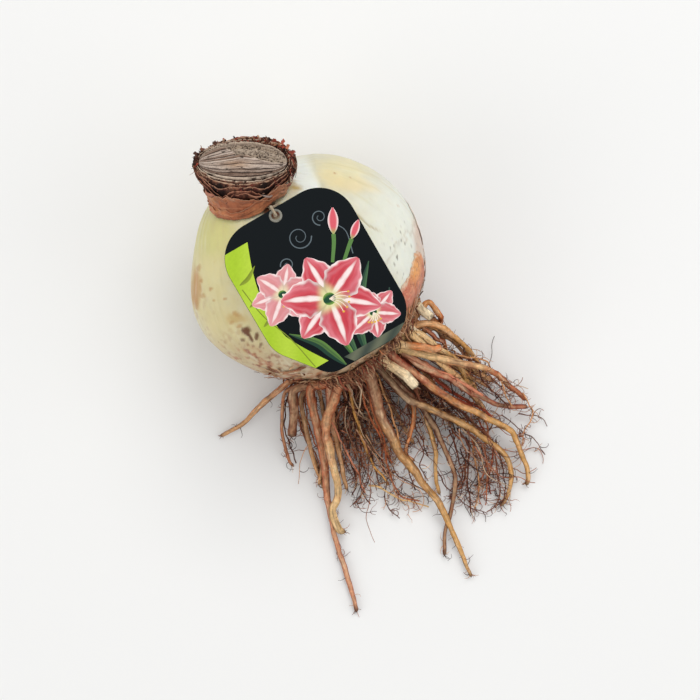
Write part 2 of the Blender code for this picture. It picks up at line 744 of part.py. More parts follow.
def label_point(right, down, height):
    """Point of the bent label by its place on the card and its height over the middle of it."""
    seat, right_way, down_way, out = label_frame()
    angle = down / LABEL_BEND
    radius = LABEL_BEND + height
    lift = GAP + LABEL_THICK / 2
    return (seat + right_way * right + down_way * radius * math.sin(angle)
            + out * (radius * math.cos(angle) - LABEL_BEND + lift))


def eased_corner(before, corner, after, reach, steps):
    """Points of a soft bend round a corner between two straight edges."""
    corner = Vector(corner)
    first = corner + (Vector(before) - corner).normalized() * reach
    last = corner + (Vector(after) - corner).normalized() * reach
    points = []
    for step in range(steps + 1):
        t = step / steps
        points.append(tuple(first * (1 - t) ** 2 + corner * 2 * t * (1 - t) + last * t ** 2))
    return points


def corner_points(width, length, corner, steps):
    """Outline of a card with three round corners and one cut across, anticlockwise."""
    points = []
    low = (LABEL_CUT[0] - width / 2, length / 2)
    high = (-width / 2, length / 2 - LABEL_CUT[1])
    for index in range(4):
        if index == 1:
            points += eased_corner((0, length / 2), low, high, LABEL_CUT_BEND, steps // 2)
            points += eased_corner(low, high, (-width / 2, 0), LABEL_CUT_BEND, steps // 2)
            continue
        turn = math.pi / 2 * index
        x = (width / 2 - corner) * (1 if index in (0, 3) else -1)
        y = (length / 2 - corner) * (1 if index in (0, 1) else -1)
        for step in range(steps + 1):
            angle = turn + math.pi / 2 * step / steps
            points.append((x + corner * math.cos(angle), y + corner * math.sin(angle)))
    return points


def build_label(parts):
    """A card with soft corners, one cut across, and a hole near its upper edge, bent over the bulb."""
    curve = bpy.data.curves.new("label", "CURVE")
    curve.dimensions = "2D"
    curve.fill_mode = "BOTH"
    curve.extrude = LABEL_THICK / 2
    turns = [2.0 * math.pi * k / HOLE_SIDES for k in range(HOLE_SIDES)]
    hole = [(HOLE_RADIUS * math.cos(turn), HOLE_DOWN + HOLE_RADIUS * math.sin(turn)) for turn in turns]
    for outline in (corner_points(LABEL_WIDTH, LABEL_LENGTH, LABEL_CORNER, 6), hole):
        spline = curve.splines.new("POLY")
        spline.points.add(len(outline) - 1)
        for slot, (x, y) in zip(spline.points, outline):
            slot.co = (x, y, 0.0, 1.0)
        spline.use_cyclic_u = True
    source = bpy.data.objects.new("label_outline", curve)
    parts.objects.link(source)
    depsgraph = bpy.context.evaluated_depsgraph_get()
    mesh = bpy.data.meshes.new_from_object(source.evaluated_get(depsgraph))
    bpy.data.objects.remove(source, do_unlink=True)
    bm = bmesh.new()
    bm.from_mesh(mesh)
    bmesh.ops.remove_doubles(bm, verts=bm.verts, dist=0.005 * MM)
    for band in range(1, LABEL_BANDS):
        down = LABEL_LENGTH * (band / LABEL_BANDS - 0.5)
        everything = bm.verts[:] + bm.edges[:] + bm.faces[:]
        bmesh.ops.bisect_plane(bm, geom=everything, dist=0.001 * MM,
                               plane_co=(0, down, 0), plane_no=(0, 1, 0))
    bmesh.ops.triangulate(bm, faces=bm.faces)
    for vert in bm.verts:
        vert.co = label_point(vert.co.x, vert.co.y, vert.co.z)
    face_outward(bm)
    return object_from(bm, "label", parts, material("label_card", (0.02, 0.035, 0.05), 0.35))


def build_eyelet(parts):
    """A turned eyelet: a sleeve through the label's hole with a rim on each face."""
    rim = EYELET_WALL + LABEL_THICK / 2 + 0.3 * MM
    under = LABEL_THICK / 2 + 0.3 * MM
    profile = [(EYELET_BORE, rim), (EYELET_RIM, rim), (EYELET_RIM, under), (EYELET_SLEEVE, under),
               (EYELET_SLEEVE, -under), (EYELET_RIM, -under), (EYELET_RIM, -rim), (EYELET_BORE, -rim)]
    bm = bmesh.new()
    verts = [bm.verts.new((x, 0.0, z)) for x, z in profile]
    for a, b in zip(verts, verts[1:] + verts[:1]):
        bm.edges.new((a, b))
    eyelet = object_from(bm, "label_eyelet", parts, material("eyelet", (0.45, 0.47, 0.45), 0.4))
    turn = eyelet.modifiers.new("turn", "SCREW")
    turn.steps = 16
    turn.render_steps = 16
    turn.use_merge_vertices = True
    turn.merge_threshold = 0.01 * MM
    apply_modifiers(eyelet)
    middle = label_point(0.0, HOLE_DOWN, 0.0)
    out = (label_point(0.0, HOLE_DOWN, 1.0 * MM) - middle).normalized()
    right = (label_point(1.0 * MM, HOLE_DOWN, 0.0) - middle).normalized()
    down = right.cross(out)
    for vert in eyelet.data.vertices:
        local = vert.co.copy()
        vert.co = middle + right * local.x - down * local.y + out * local.z
    return eyelet


def string_route():
    """Route of the closed string: round the neck under the collar's lip, and through the eyelet."""
    reach = GAP + STRING_RADIUS + 0.1 * MM
    lift = GAP + STRING_RADIUS
    start = STRING_EXIT + STRING_PARTING
    sweep = 2.0 * math.pi - 2.0 * STRING_PARTING
    route = []
    for step in range(27):
        angle = start + sweep * step / 26
        route.append(neck_oval(angle, reach, neck_depth(angle, reach, lift)))
    under_lip = 3.4 * MM
    low_exit = STRING_EXIT - 0.5 * STRING_PARTING
    high_exit = STRING_EXIT + 0.5 * STRING_PARTING
    low = neck_oval(low_exit, under_lip, neck_depth(low_exit, under_lip, lift + 0.2 * MM))
    high = neck_oval(high_exit, under_lip, neck_depth(high_exit, under_lip, lift + 0.2 * MM))
    passage = ((-3.8, -2.4), (-1.5, -2.0), (-0.4, -1.3), (0.0, -0.4),
               (0.0, 0.4), (-0.5, 1.4), (-1.8, 2.0), (-4.0, 2.2))
    route.append(low)
    for down, height in passage:
        aside = 0.25 * MM if height > 0.0 else -0.25 * MM
        route.append(label_point(aside, HOLE_DOWN + down * MM, height * MM))
    route.append(high)
    return route


def closed_spline(route, count):
    """Points spaced along a smooth closed curve through the route."""
    wrapped = route[-3:] + route + route[:3]
    dense = spline_points(wrapped, 24 * len(wrapped))
    first = min(range(len(dense) // 2), key=lambda k: (dense[k] - route[0]).length)
    last = min(range(len(dense) // 2, len(dense)), key=lambda k: (dense[k] - route[0]).length)
    loop = dense[first:last]
    return [loop[int(len(loop) * step / count)] for step in range(count)]


def build_string(parts):
    points = [off_bulb(point, GAP + STRING_RADIUS) for point in closed_spline(string_route(), 56)]
    radii = [STRING_RADIUS] * len(points)
    string = tube("label_string", points, radii, "string", parts, cyclic=True)
    string.data.materials.append(material("string", (0.72, 0.66, 0.52), 0.9))
    return string


def main():
    clear_scene()
    parts = new_collection(NAME)
    cutters = new_collection("cutters")
    build_bulb(parts, cutters)
    build_stump(parts, cutters)
    build_sleeve(parts)
    build_collar(parts)
    build_base_skin(parts)
    build_flank_skin(parts)
    build_roots(parts, cutters)
    build_label(parts)
    build_eyelet(parts)
    build_string(parts)


main()
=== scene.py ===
import math

import bmesh
import bpy
import numpy as np
from mathutils import Matrix, Vector


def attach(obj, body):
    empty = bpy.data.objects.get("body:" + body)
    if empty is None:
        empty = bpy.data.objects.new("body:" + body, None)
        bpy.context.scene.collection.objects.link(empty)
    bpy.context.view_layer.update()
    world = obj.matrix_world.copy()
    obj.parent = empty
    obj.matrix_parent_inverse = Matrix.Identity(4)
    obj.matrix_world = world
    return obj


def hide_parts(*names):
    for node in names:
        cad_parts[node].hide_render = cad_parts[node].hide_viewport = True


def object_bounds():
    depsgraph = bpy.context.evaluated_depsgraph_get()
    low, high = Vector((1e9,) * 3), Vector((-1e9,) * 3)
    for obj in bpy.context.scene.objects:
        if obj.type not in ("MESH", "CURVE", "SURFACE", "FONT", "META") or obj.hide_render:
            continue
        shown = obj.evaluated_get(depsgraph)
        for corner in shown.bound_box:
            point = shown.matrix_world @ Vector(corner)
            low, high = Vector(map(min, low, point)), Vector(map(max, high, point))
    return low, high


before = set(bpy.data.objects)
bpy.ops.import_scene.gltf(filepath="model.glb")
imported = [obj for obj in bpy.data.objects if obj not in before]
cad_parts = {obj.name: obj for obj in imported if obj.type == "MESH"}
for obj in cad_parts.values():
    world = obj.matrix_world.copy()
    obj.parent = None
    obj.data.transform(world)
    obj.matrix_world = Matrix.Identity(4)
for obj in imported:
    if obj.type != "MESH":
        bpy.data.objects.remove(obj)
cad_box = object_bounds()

MM = 0.001

# The bulb and its axis, which dips towards the roots
BULB_HALF_WIDTH = 50.5 * MM
BULB_HALF_LENGTH = 48.0 * MM
AXIS_DIP = math.radians(27)
BASE_FLAT = 43.0 * MM
BULB_MIDDLE = np.array((2.0, 0.0, 49.2)) * MM
ROOT_WAY = np.array((math.cos(AXIS_DIP), 0.0, -math.sin(AXIS_DIP)))
UP_WAY = np.array((math.sin(AXIS_DIP), 0.0, math.cos(AXIS_DIP)))
SIDE_WAY = np.array((0.0, 1.0, 0.0))
SWELLINGS = (
    ((-0.74, -0.36, 0.55), 7.2 * MM, 23.0),
    ((-0.08, -1.00, -0.05), 3.8 * MM, 26.0),
    ((-0.30, 0.95, 0.00), 1.3 * MM, 42.0),
)

# The neck's cut end, the way it points, and its half width and depth there and lower down
CUT_MIDDLE = BULB_MIDDLE + np.array((-50.7, 0.6, 43.0)) * MM
NECK_WAY = np.array((-0.66, 0.43, 0.62)) / math.sqrt(0.66 ** 2 + 0.43 ** 2 + 0.62 ** 2)
NECK_ACROSS = np.array((0.541, 0.841, 0.0))
NECK_ACROSS = NECK_ACROSS - NECK_WAY * NECK_ACROSS.dot(NECK_WAY)
NECK_ACROSS = NECK_ACROSS / np.linalg.norm(NECK_ACROSS)
NECK_FRONT = np.cross(NECK_ACROSS, NECK_WAY)
STUMP_HALF = (18.4 * MM, 13.2 * MM)
STUMP_WAIST = (13.4 * MM, 11.4 * MM)
WAIST_DEPTH = 22.0 * MM
NECK_LEAN = 1.6 * MM
FACE_HALF = (18.6 * MM, 14.5 * MM)
FACE_BACK = 1.3 * MM

# Hang label
LABEL_WIDTH = 59.0 * MM
LABEL_LENGTH = 73.5 * MM
LABEL_THICK = 0.6 * MM
LABEL_CORNER = 16.0 * MM
LABEL_CUT = (16.3 * MM, 21.7 * MM)
LABEL_CUT_BEND = 5.0 * MM
LABEL_BEND = 190.0 * MM
LABEL_SPOT = (9.7 * MM, -1.6 * MM)
LABEL_TURN = math.radians(-2.7)
LABEL_GAP = 0.35 * MM
HOLE_RADIUS = 2.0 * MM
HOLE_DOWN = 3.1 * MM - LABEL_LENGTH / 2
STRING_RADIUS = 0.5 * MM
STRING_EXIT = math.radians(48)
STRING_PARTING = math.radians(9)

# Roots in sight: radius at the plate and at the tip, route in millimetres, colour near and far
ROOT_ROUTES = {
    "left_low": (1.9, 0.8, [(39, -35, 15), (42, -53, 8), (44, -64, 4.5), (43, -76, 3)], "rust", "tan"),
    "left_stub": (2.3, 2.1, [(44, -35, 22), (52, -41, 20), (61, -48, 16)], "brown", "brown"),
    "left_thin": (1.0, 0.6, [(43, -39, 12), (54, -49, 8), (68, -55, 4), (73, -55, 3)], "rust", "rust"),
    "left_back": (1.3, 0.8, [(48, -33, 14), (62, -41, 9), (86, -48, 3.5), (95, -49, 2.5)], "brown", "tan"),
    "long_left": (2.1, 0.9, [(48, -29, 24), (71, -39, 15), (90, -48, 6), (103, -53, 4),
                             (115, -58, 2.4), (137, -64, 2), (145, -67, 1.8)], "rust", "pink"),
    "pale_hook": (2.3, 1.5, [(51, -15, 33), (63, -30, 28), (73, -36, 22), (93, -44, 10),
                             (100, -51, 6), (108, -53, 5), (111, -51, 4)], "rust", "straw"),
    "long_mid": (2.7, 0.75, [(53, -2, 36), (64, -5, 33), (78, -9, 27), (109, -10, 12),
                            (124, -8, 7), (139, -10, 4), (160, -14, 2)], "brown", "ochre"),
    "red_long": (2.0, 1.0, [(50, 9, 37), (67, 14, 32), (88, 23, 21), (109, 36, 11),
                            (118, 37, 8), (133, 34, 4), (138, 30, 2.5)], "red", "ochre"),
    "pale_stub": (2.4, 2.2, [(51, 5, 36), (61, 9, 35), (72, 12, 32)], "straw", "cream"),
    "brown_long": (1.9, 0.9, [(55, 2, 30), (75, 6, 24), (97, 20, 15), (118, 29, 7),
                              (128, 28, 4.5), (136, 22, 3), (140, 15, 2)], "umber", "ochre"),
    "top_stub": (2.0, 1.6, [(48, 12, 40), (53, 16, 40), (61, 26, 39), (63, 31, 37)], "straw", "orange"),
    "right_long": (2.0, 1.0, [(54, 16, 35), (63, 24, 34), (81, 42, 24), (98, 49, 9),
                              (105, 51, 4)], "straw", "rust"),
    "right_red": (1.7, 1.0, [(58, 16, 31), (69, 20, 29), (80, 28, 25), (98, 38, 13),
                             (108, 50, 6)], "red", "red"),
    "orange_a": (1.5, 1.2, [(43, 36, 29), (46, 38, 29), (51, 38, 25), (54, 37, 18)], "ochre", "orange"),
    "orange_b": (1.4, 1.0, [(44, 33, 26), (52, 35, 22), (59, 34, 15), (66, 33, 8)], "ochre", "orange"),
    "upper_tan": (1.7, 0.9, [(49, 26, 34), (53, 34, 33), (67, 40, 20), (81, 42, 6),
                             (85, 42, 3)], "tan", "ochre"),
    "pale_a": (1.9, 1.0, [(47, 20, 38), (58, 24, 35), (68, 27, 30), (93, 32, 12), (103, 32, 5)],
               "straw", "tan"),
    "pale_b": (1.8, 1.0, [(51, 25, 34), (62, 29, 30), (72, 33, 22), (93, 32, 6)], "straw", "ochre"),
    "black_tip": (1.7, 0.8, [(62, 7, 20), (88, 9, 12), (109, 7, 7), (118, 4, 5), (128, -4, 4),
                             (135, -12, 2.5), (145, -19, 1.8)], "umber", "brown"),
    "orange_mid": (1.7, 0.8, [(60, 6, 18), (78, 7, 11), (86, 2, 8), (95, -8, 4), (101, -7, 3)],
                   "rust", "orange"),
    "yellow_mid": (1.6, 0.8, [(62, 10, 18), (76, 11, 13), (100, 4, 6), (111, -2, 4), (120, -6, 2.5)],
                   "brown", "ochre"),
}
HIDDEN_ROOTS = 15

# More roots of the fan: radius at the plate and at the tip in millimetres, colour near and far,
# where they show in the picture and their heights in millimetres
FAN_ROOTS = (
    (1.9, 1.8, "cream", "cream", ((405, 302, 34), (414, 305, 37), (423, 311, 37), (432, 318, 35))),
    (1.5, 1.3, "cream", "straw", ((396, 324, 37), (404, 331, 37), (413, 338, 36), (422, 346, 34))),
    (1.5, 1.4, "cream", "cream", ((406, 323, 35), (415, 330, 35), (425, 337, 33), (436, 345, 30))),
    (1.2, 0.9, "orange", "red", ((414, 321, 32), (424, 330, 31), (434, 337, 28), (445, 343, 25))),
    (1.2, 0.8, "brown", "tan", ((432, 328, 24), (443, 336, 20), (453, 342, 16), (463, 352, 12), (472, 362, 8))),
    (1.3, 0.7, "tan", "ochre", ((424, 325, 30), (436, 329, 27), (450, 336, 21), (462, 346, 15), (470, 360, 9), (476, 376, 6))),
    (1.3, 0.8, "orange", "ochre", ((446, 352, 22), (456, 362, 18), (466, 374, 13), (474, 386, 9), (477, 398, 7))),
    (1.5, 0.9, "pink", "red", ((409, 355, 32), (425, 364, 29), (442, 375, 25), (460, 385, 19), (472, 396, 14))),
    (1.9, 1.2, "umber", "brown", ((384, 368, 29), (395, 380, 26), (406, 392, 21), (419, 401, 16), (434, 410, 12))),
    (1.1, 0.8, "orange", "red", ((440, 362, 23), (452, 370, 19), (458, 379, 16), (462, 392, 12))),
    (1.1, 0.8, "straw", "orange", ((392, 331, 38), (398, 338, 39), (403, 345, 39))),
    (1.3, 0.9, "orange", "tan", ((313, 378, 14), (318, 390, 12), (322, 404, 9), (324, 420, 6))),
    (0.9, 0.6, "rust", "umber", ((298, 380, 13), (297, 400, 9), (302, 428, 6), (312, 452, 4), (320, 470, 3))),
)
PLATE_HALF_WIDTH = 21.5 * MM
PLATE_DEPTH = 7.0 * MM

# Frame of the picture: pixels to a metre at the bulb's middle, its right and its up
PIXELS = 2280.0
FRAME_RIGHT = np.array((0.541, 0.841, 0.0)) / math.hypot(0.541, 0.841)
FRAME_UP = np.array((-0.841, 0.541, 0.0)) / math.hypot(0.541, 0.841)
FRAME_MIDDLE = np.array((0.042, -0.0043, 0.0492))
CAMERA_HEIGHT = 1.0


def tone(red, green, blue):
    """A colour as light amounts, from its screen values of 0 to 255."""
    return np.array([((value / 255.0) + 0.055) ** 2.4 / 1.055 ** 2.4 for value in (red, green, blue)])


ROOT_TONES = {
    "rust": tone(182, 100, 62),
    "brown": tone(130, 76, 52),
    "umber": tone(98, 56, 42),
    "red": tone(158, 70, 48),
    "pink": tone(198, 126, 96),
    "tan": tone(208, 150, 100),
    "straw": tone(230, 190, 132),
    "cream": tone(244, 226, 190),
    "orange": tone(208, 116, 56),
    "ochre": tone(210, 154, 84),
}


def ramp(value, low, high):
    """Smooth step from 0 at low to 1 at high."""
    part = np.clip((value - low) / (high - low), 0.0, 1.0)
    return part * part * (3.0 - 2.0 * part)


def grain(points, size, seed=0.0):
    """Smooth noise from -1 to 1 with bumps of about a size, at points in metres."""
    place = np.asarray(points) / size + seed * 17.31
    cell = np.floor(place).astype(np.int64)
    part = place - cell
    part = part * part * (3.0 - 2.0 * part)
    total = np.zeros(place.shape[:-1])
    for dx in (0, 1):
        for dy in (0, 1):
            for dz in (0, 1):
                n = ((cell[..., 0] + dx) * 73856093) ^ ((cell[..., 1] + dy) * 19349663)
                n = n ^ ((cell[..., 2] + dz) * 83492791)
                n = (n * (n * n * 15731 + 789221) + 1376312589) & 0x7FFFFFFF
                share = part[..., 0] if dx else 1.0 - part[..., 0]
                share = share * (part[..., 1] if dy else 1.0 - part[..., 1])
                share = share * (part[..., 2] if dz else 1.0 - part[..., 2])
                total += share * (n / 1073741823.5 - 1.0)
    return total


def fractal(points, size, seed=0.0):
    return (grain(points, size, seed) + 0.5 * grain(points, size * 0.47, seed + 3.0)
            + 0.25 * grain(points, size * 0.21, seed + 5.0)) / 1.5


def blend(base, colour, share):
    """Mix a colour into colours by a share for each."""
    share = np.asarray(share)[..., None]
    return base * (1.0 - share) + np.asarray(colour) * share


def unit(vectors):
    return vectors / np.maximum(np.linalg.norm(vectors, axis=-1, keepdims=True), 1e-12)


def bulb_radii(ways):
    """Distance from the bulb's middle to its skin along unit vectors."""
    along = ways @ ROOT_WAY
    across = np.sqrt(np.clip(1.0 - along * along, 0.0, None))
    radius = 1.0 / np.hypot(across / BULB_HALF_WIDTH, along / BULB_HALF_LENGTH)
    for centre, height, spread in SWELLINGS:
        centre = np.array(centre) / np.linalg.norm(centre)
        turn = np.degrees(np.arccos(np.clip(ways @ centre, -1.0, 1.0)))
        radius = radius + height * np.exp(-(turn / spread) ** 2)
    return np.minimum(radius, BASE_FLAT / np.maximum(along, 0.01))


def bulb_heights(points):
    """How far points stand off the bulb's skin."""
    offset = points - BULB_MIDDLE
    reach = np.linalg.norm(offset, axis=-1)
    return reach - bulb_radii(offset / reach[..., None])


def on_bulb(turn, fall, lift):
    """Points on the bulb by turn about its axis and fall from its root end, in degrees."""
    turn, fall, lift = np.broadcast_arrays(np.radians(turn), np.radians(fall), lift)
    ring = np.cos(turn)[..., None] * UP_WAY + np.sin(turn)[..., None] * SIDE_WAY
    way = np.cos(fall)[..., None] * ROOT_WAY + np.sin(fall)[..., None] * ring
    return BULB_MIDDLE + way * (bulb_radii(way) + lift)[..., None]


def lift_off(points, need):
    """Points moved out where they stand less than a distance off the bulb."""
    short = np.maximum(need - bulb_heights(points), 0.0)
    return points + unit(points - BULB_MIDDLE) * short[..., None]


def neck_place(angle, out, depth):
    """Points round the neck by angle, distance out from the stump and depth below the cut."""
    angle, out, depth = np.broadcast_arrays(angle, out, depth)
    part = ramp(depth, 0.0, WAIST_DEPTH)
    half_across = STUMP_HALF[0] + (STUMP_WAIST[0] - STUMP_HALF[0]) * part
    half_front = STUMP_HALF[1] + (STUMP_WAIST[1] - STUMP_HALF[1]) * part
    across = (half_across + out) * np.cos(angle) + NECK_LEAN * part
    front = (half_front + out) * np.sin(angle)
    return (CUT_MIDDLE + across[..., None] * NECK_ACROSS + front[..., None] * NECK_FRONT
            - depth[..., None] * NECK_WAY)


def neck_depths(angle, out, lift):
    """Depths below the cut where the neck's wall comes down to a height over the bulb."""
    angle, out, lift = np.broadcast_arrays(angle, out, lift)
    low = np.full(angle.shape, 2.0 * MM)
    high = np.full(angle.shape, 40.0 * MM)
    for _ in range(30):
        middle = (low + high) / 2.0
        above = bulb_heights(neck_place(angle, out, middle)) > lift
        low = np.where(above, middle, low)
        high = np.where(above, high, middle)
    return low


def in_frame(points):
    """Where points show in the picture, in pixels right and down."""
    offset = points - FRAME_MIDDLE
    scale = PIXELS * CAMERA_HEIGHT / (CAMERA_HEIGHT - offset[..., 2])
    return 350.0 + (offset @ FRAME_RIGHT) * scale, 350.0 - (offset @ FRAME_UP) * scale


def spot(right, down, height):
    """Points at a height that show at a place in the picture."""
    right, down, height = np.broadcast_arrays(right, down, height)
    scale = (CAMERA_HEIGHT - (height - FRAME_MIDDLE[2])) / (PIXELS * CAMERA_HEIGHT)
    flat = (FRAME_MIDDLE + ((right - 350.0) * scale)[..., None] * FRAME_RIGHT
            + ((350.0 - down) * scale)[..., None] * FRAME_UP)
    flat[..., 2] = height
    return flat


def spline(route, spacing):
    """Points an even distance apart along a smooth curve through a route."""
    route = np.asarray(route, dtype=float)
    ends = np.vstack((route[0] * 2 - route[1], route, route[-1] * 2 - route[-2]))
    t = np.linspace(0.0, 1.0, 16, endpoint=False)[:, None]
    dense = []
    for a, b, c, d in zip(ends, ends[1:], ends[2:], ends[3:]):
        dense.append(0.5 * (2 * b + (c - a) * t + (2 * a - 5 * b + 4 * c - d) * t ** 2
                            + (3 * b - a - 3 * c + d) * t ** 3))
    dense = np.vstack(dense + [route[-1:]])
    length = np.concatenate(([0.0], np.cumsum(np.linalg.norm(np.diff(dense, axis=0), axis=1))))
    count = max(4, int(length[-1] / spacing) + 1)
    goal = np.linspace(0.0, length[-1], count)
    return np.stack([np.interp(goal, length, dense[:, axis]) for axis in range(3)], axis=1)


def add_piece(name, points, faces, mat, tints=None, uvs=None, replaces="", smooth=True):
    """A mesh piece with a colour at each point and a map of its surface."""
    points = np.array(points, dtype=float).reshape(-1, 3)
    points[:, 2] = np.maximum(points[:, 2], 0.0)
    mesh = bpy.data.meshes.new(name)
    mesh.from_pydata(points.tolist(), [], [list(map(int, face)) for face in faces])
    mesh.update()
    if tints is not None:
        layer = mesh.color_attributes.new("tint", "FLOAT_COLOR", "POINT")
        rgba = np.ones((len(mesh.vertices), 4))
        rgba[:, :3] = np.clip(np.asarray(tints).reshape(-1, 3), 0.0, 1.0)
        layer.data.foreach_set("color", rgba.ravel())
    if uvs is not None:
        corner = np.zeros(len(mesh.loops), dtype=np.int32)
        mesh.loops.foreach_get("vertex_index", corner)
        layer = mesh.uv_layers.new(name="lie")
        layer.data.foreach_set("uv", np.asarray(uvs).reshape(-1, 2)[corner].ravel())
    if smooth:
        mesh.shade_smooth()
    mesh.materials.append(mat)
    piece = bpy.data.objects.new(name, mesh)
    bpy.context.scene.collection.objects.link(piece)
    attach(piece, "root")
    if replaces:
        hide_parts(replaces)
    return piece


def apply_modifiers(piece):
    depsgraph = bpy.context.evaluated_depsgraph_get()
    mesh = bpy.data.meshes.new_from_object(piece.evaluated_get(depsgraph))
    piece.modifiers.clear()
    piece.data = mesh


def thicken(piece, wall):
    """Give an open sheet a wall, half on each side of it."""
    solid = piece.modifiers.new("wall", "SOLIDIFY")
    solid.thickness = wall
    solid.offset = 0.0
    apply_modifiers(piece)


def grid_faces(rows, columns, closed=False, first=0):
    """Faces of a grid of points in rows, joined end to end along each row where it is closed."""
    across = columns if closed else columns - 1
    row, column = np.meshgrid(np.arange(rows - 1), np.arange(across), indexing="ij")
    a = row * columns + column
    b = row * columns + (column + 1) % columns
    return np.stack((a, b, b + columns, a + columns), axis=-1).reshape(-1, 4) + first


def tube_rings(points, radii, sides, shape=None):
    """Rings of points round a line, carried along it without twist."""
    ways = unit(np.gradient(points, axis=0))
    side = np.cross(ways[0], (0.0, 0.0, 1.0) if abs(ways[0][2]) < 0.9 else (1.0, 0.0, 0.0))
    sides_at = []
    for way in ways:
        side = side - way * side.dot(way)
        side = side / max(np.linalg.norm(side), 1e-9)
        sides_at.append(side)
    sides_at = np.array(sides_at)
    other = np.cross(ways, sides_at)
    angle = np.linspace(0.0, 2.0 * math.pi, sides, endpoint=False)
    reach = np.broadcast_to(radii[:, None], (len(points), sides)).copy()
    if shape is not None:
        reach *= shape(np.linspace(0.0, 1.0, len(points))[:, None], angle[None, :])
    return (points[:, None, :] + (np.cos(angle)[None, :, None] * sides_at[:, None, :]
                                  + np.sin(angle)[None, :, None] * other[:, None, :]) * reach[..., None])


def strands(name, lines, sides, mat, replaces):
    """One piece of many round strands, each given by its points, radii and colours."""
    points = []
    faces = []
    tints = []
    uvs = []
    first = 0
    for route, radii, colours in lines:
        count = len(route)
        rings = tube_rings(route, radii, sides)
        points.append(rings.reshape(-1, 3))
        tints.append(np.repeat(colours, sides, axis=0))
        length = np.concatenate(([0.0], np.cumsum(np.linalg.norm(np.diff(route, axis=0), axis=1))))
        uv = np.stack((np.repeat(length, sides) / 0.01, np.tile(np.arange(sides) / sides, count)), axis=1)
        uvs.append(uv)
        faces.extend(grid_faces(count, sides, True, first).tolist())
        faces.append([first + k for k in reversed(range(sides))])
        faces.append([first + (count - 1) * sides + k for k in range(sides)])
        first += count * sides
    return add_piece(name, np.vstack(points), faces, mat, np.vstack(tints), np.vstack(uvs), replaces)


def ribbons(name, strips, mat, replaces, wall=0.0):
    """One piece of many narrow strips, each given by its points, side ways, widths and colours."""
    points = []
    faces = []
    tints = []
    uvs = []
    first = 0
    across = np.array((-0.5, -0.18, 0.18, 0.5))
    for route, side, widths, colours, cup in strips:
        count = len(route)
        ways = unit(np.gradient(route, axis=0))
        up = np.cross(side, ways)
        offset = across[None, :, None] * (side * widths[:, None])[:, None, :]
        bow = (0.25 - across ** 2)[None, :, None] * (up * (widths * cup)[:, None])[:, None, :]
        points.append((route[:, None, :] + offset + bow).reshape(-1, 3))
        tints.append(np.repeat(colours, 4, axis=0))
        v = np.tile(across + 0.5, count)
        u = np.repeat(np.linspace(0.0, 1.0, count), 4)
        uvs.append(np.stack((u, v), axis=1))
        faces.extend(grid_faces(count, 4, False, first).tolist())
        first += count * 4
    piece = add_piece(name, np.vstack(points), faces, mat, np.vstack(tints), np.vstack(uvs), replaces)
    if wall:
        thicken(piece, wall)
    return piece


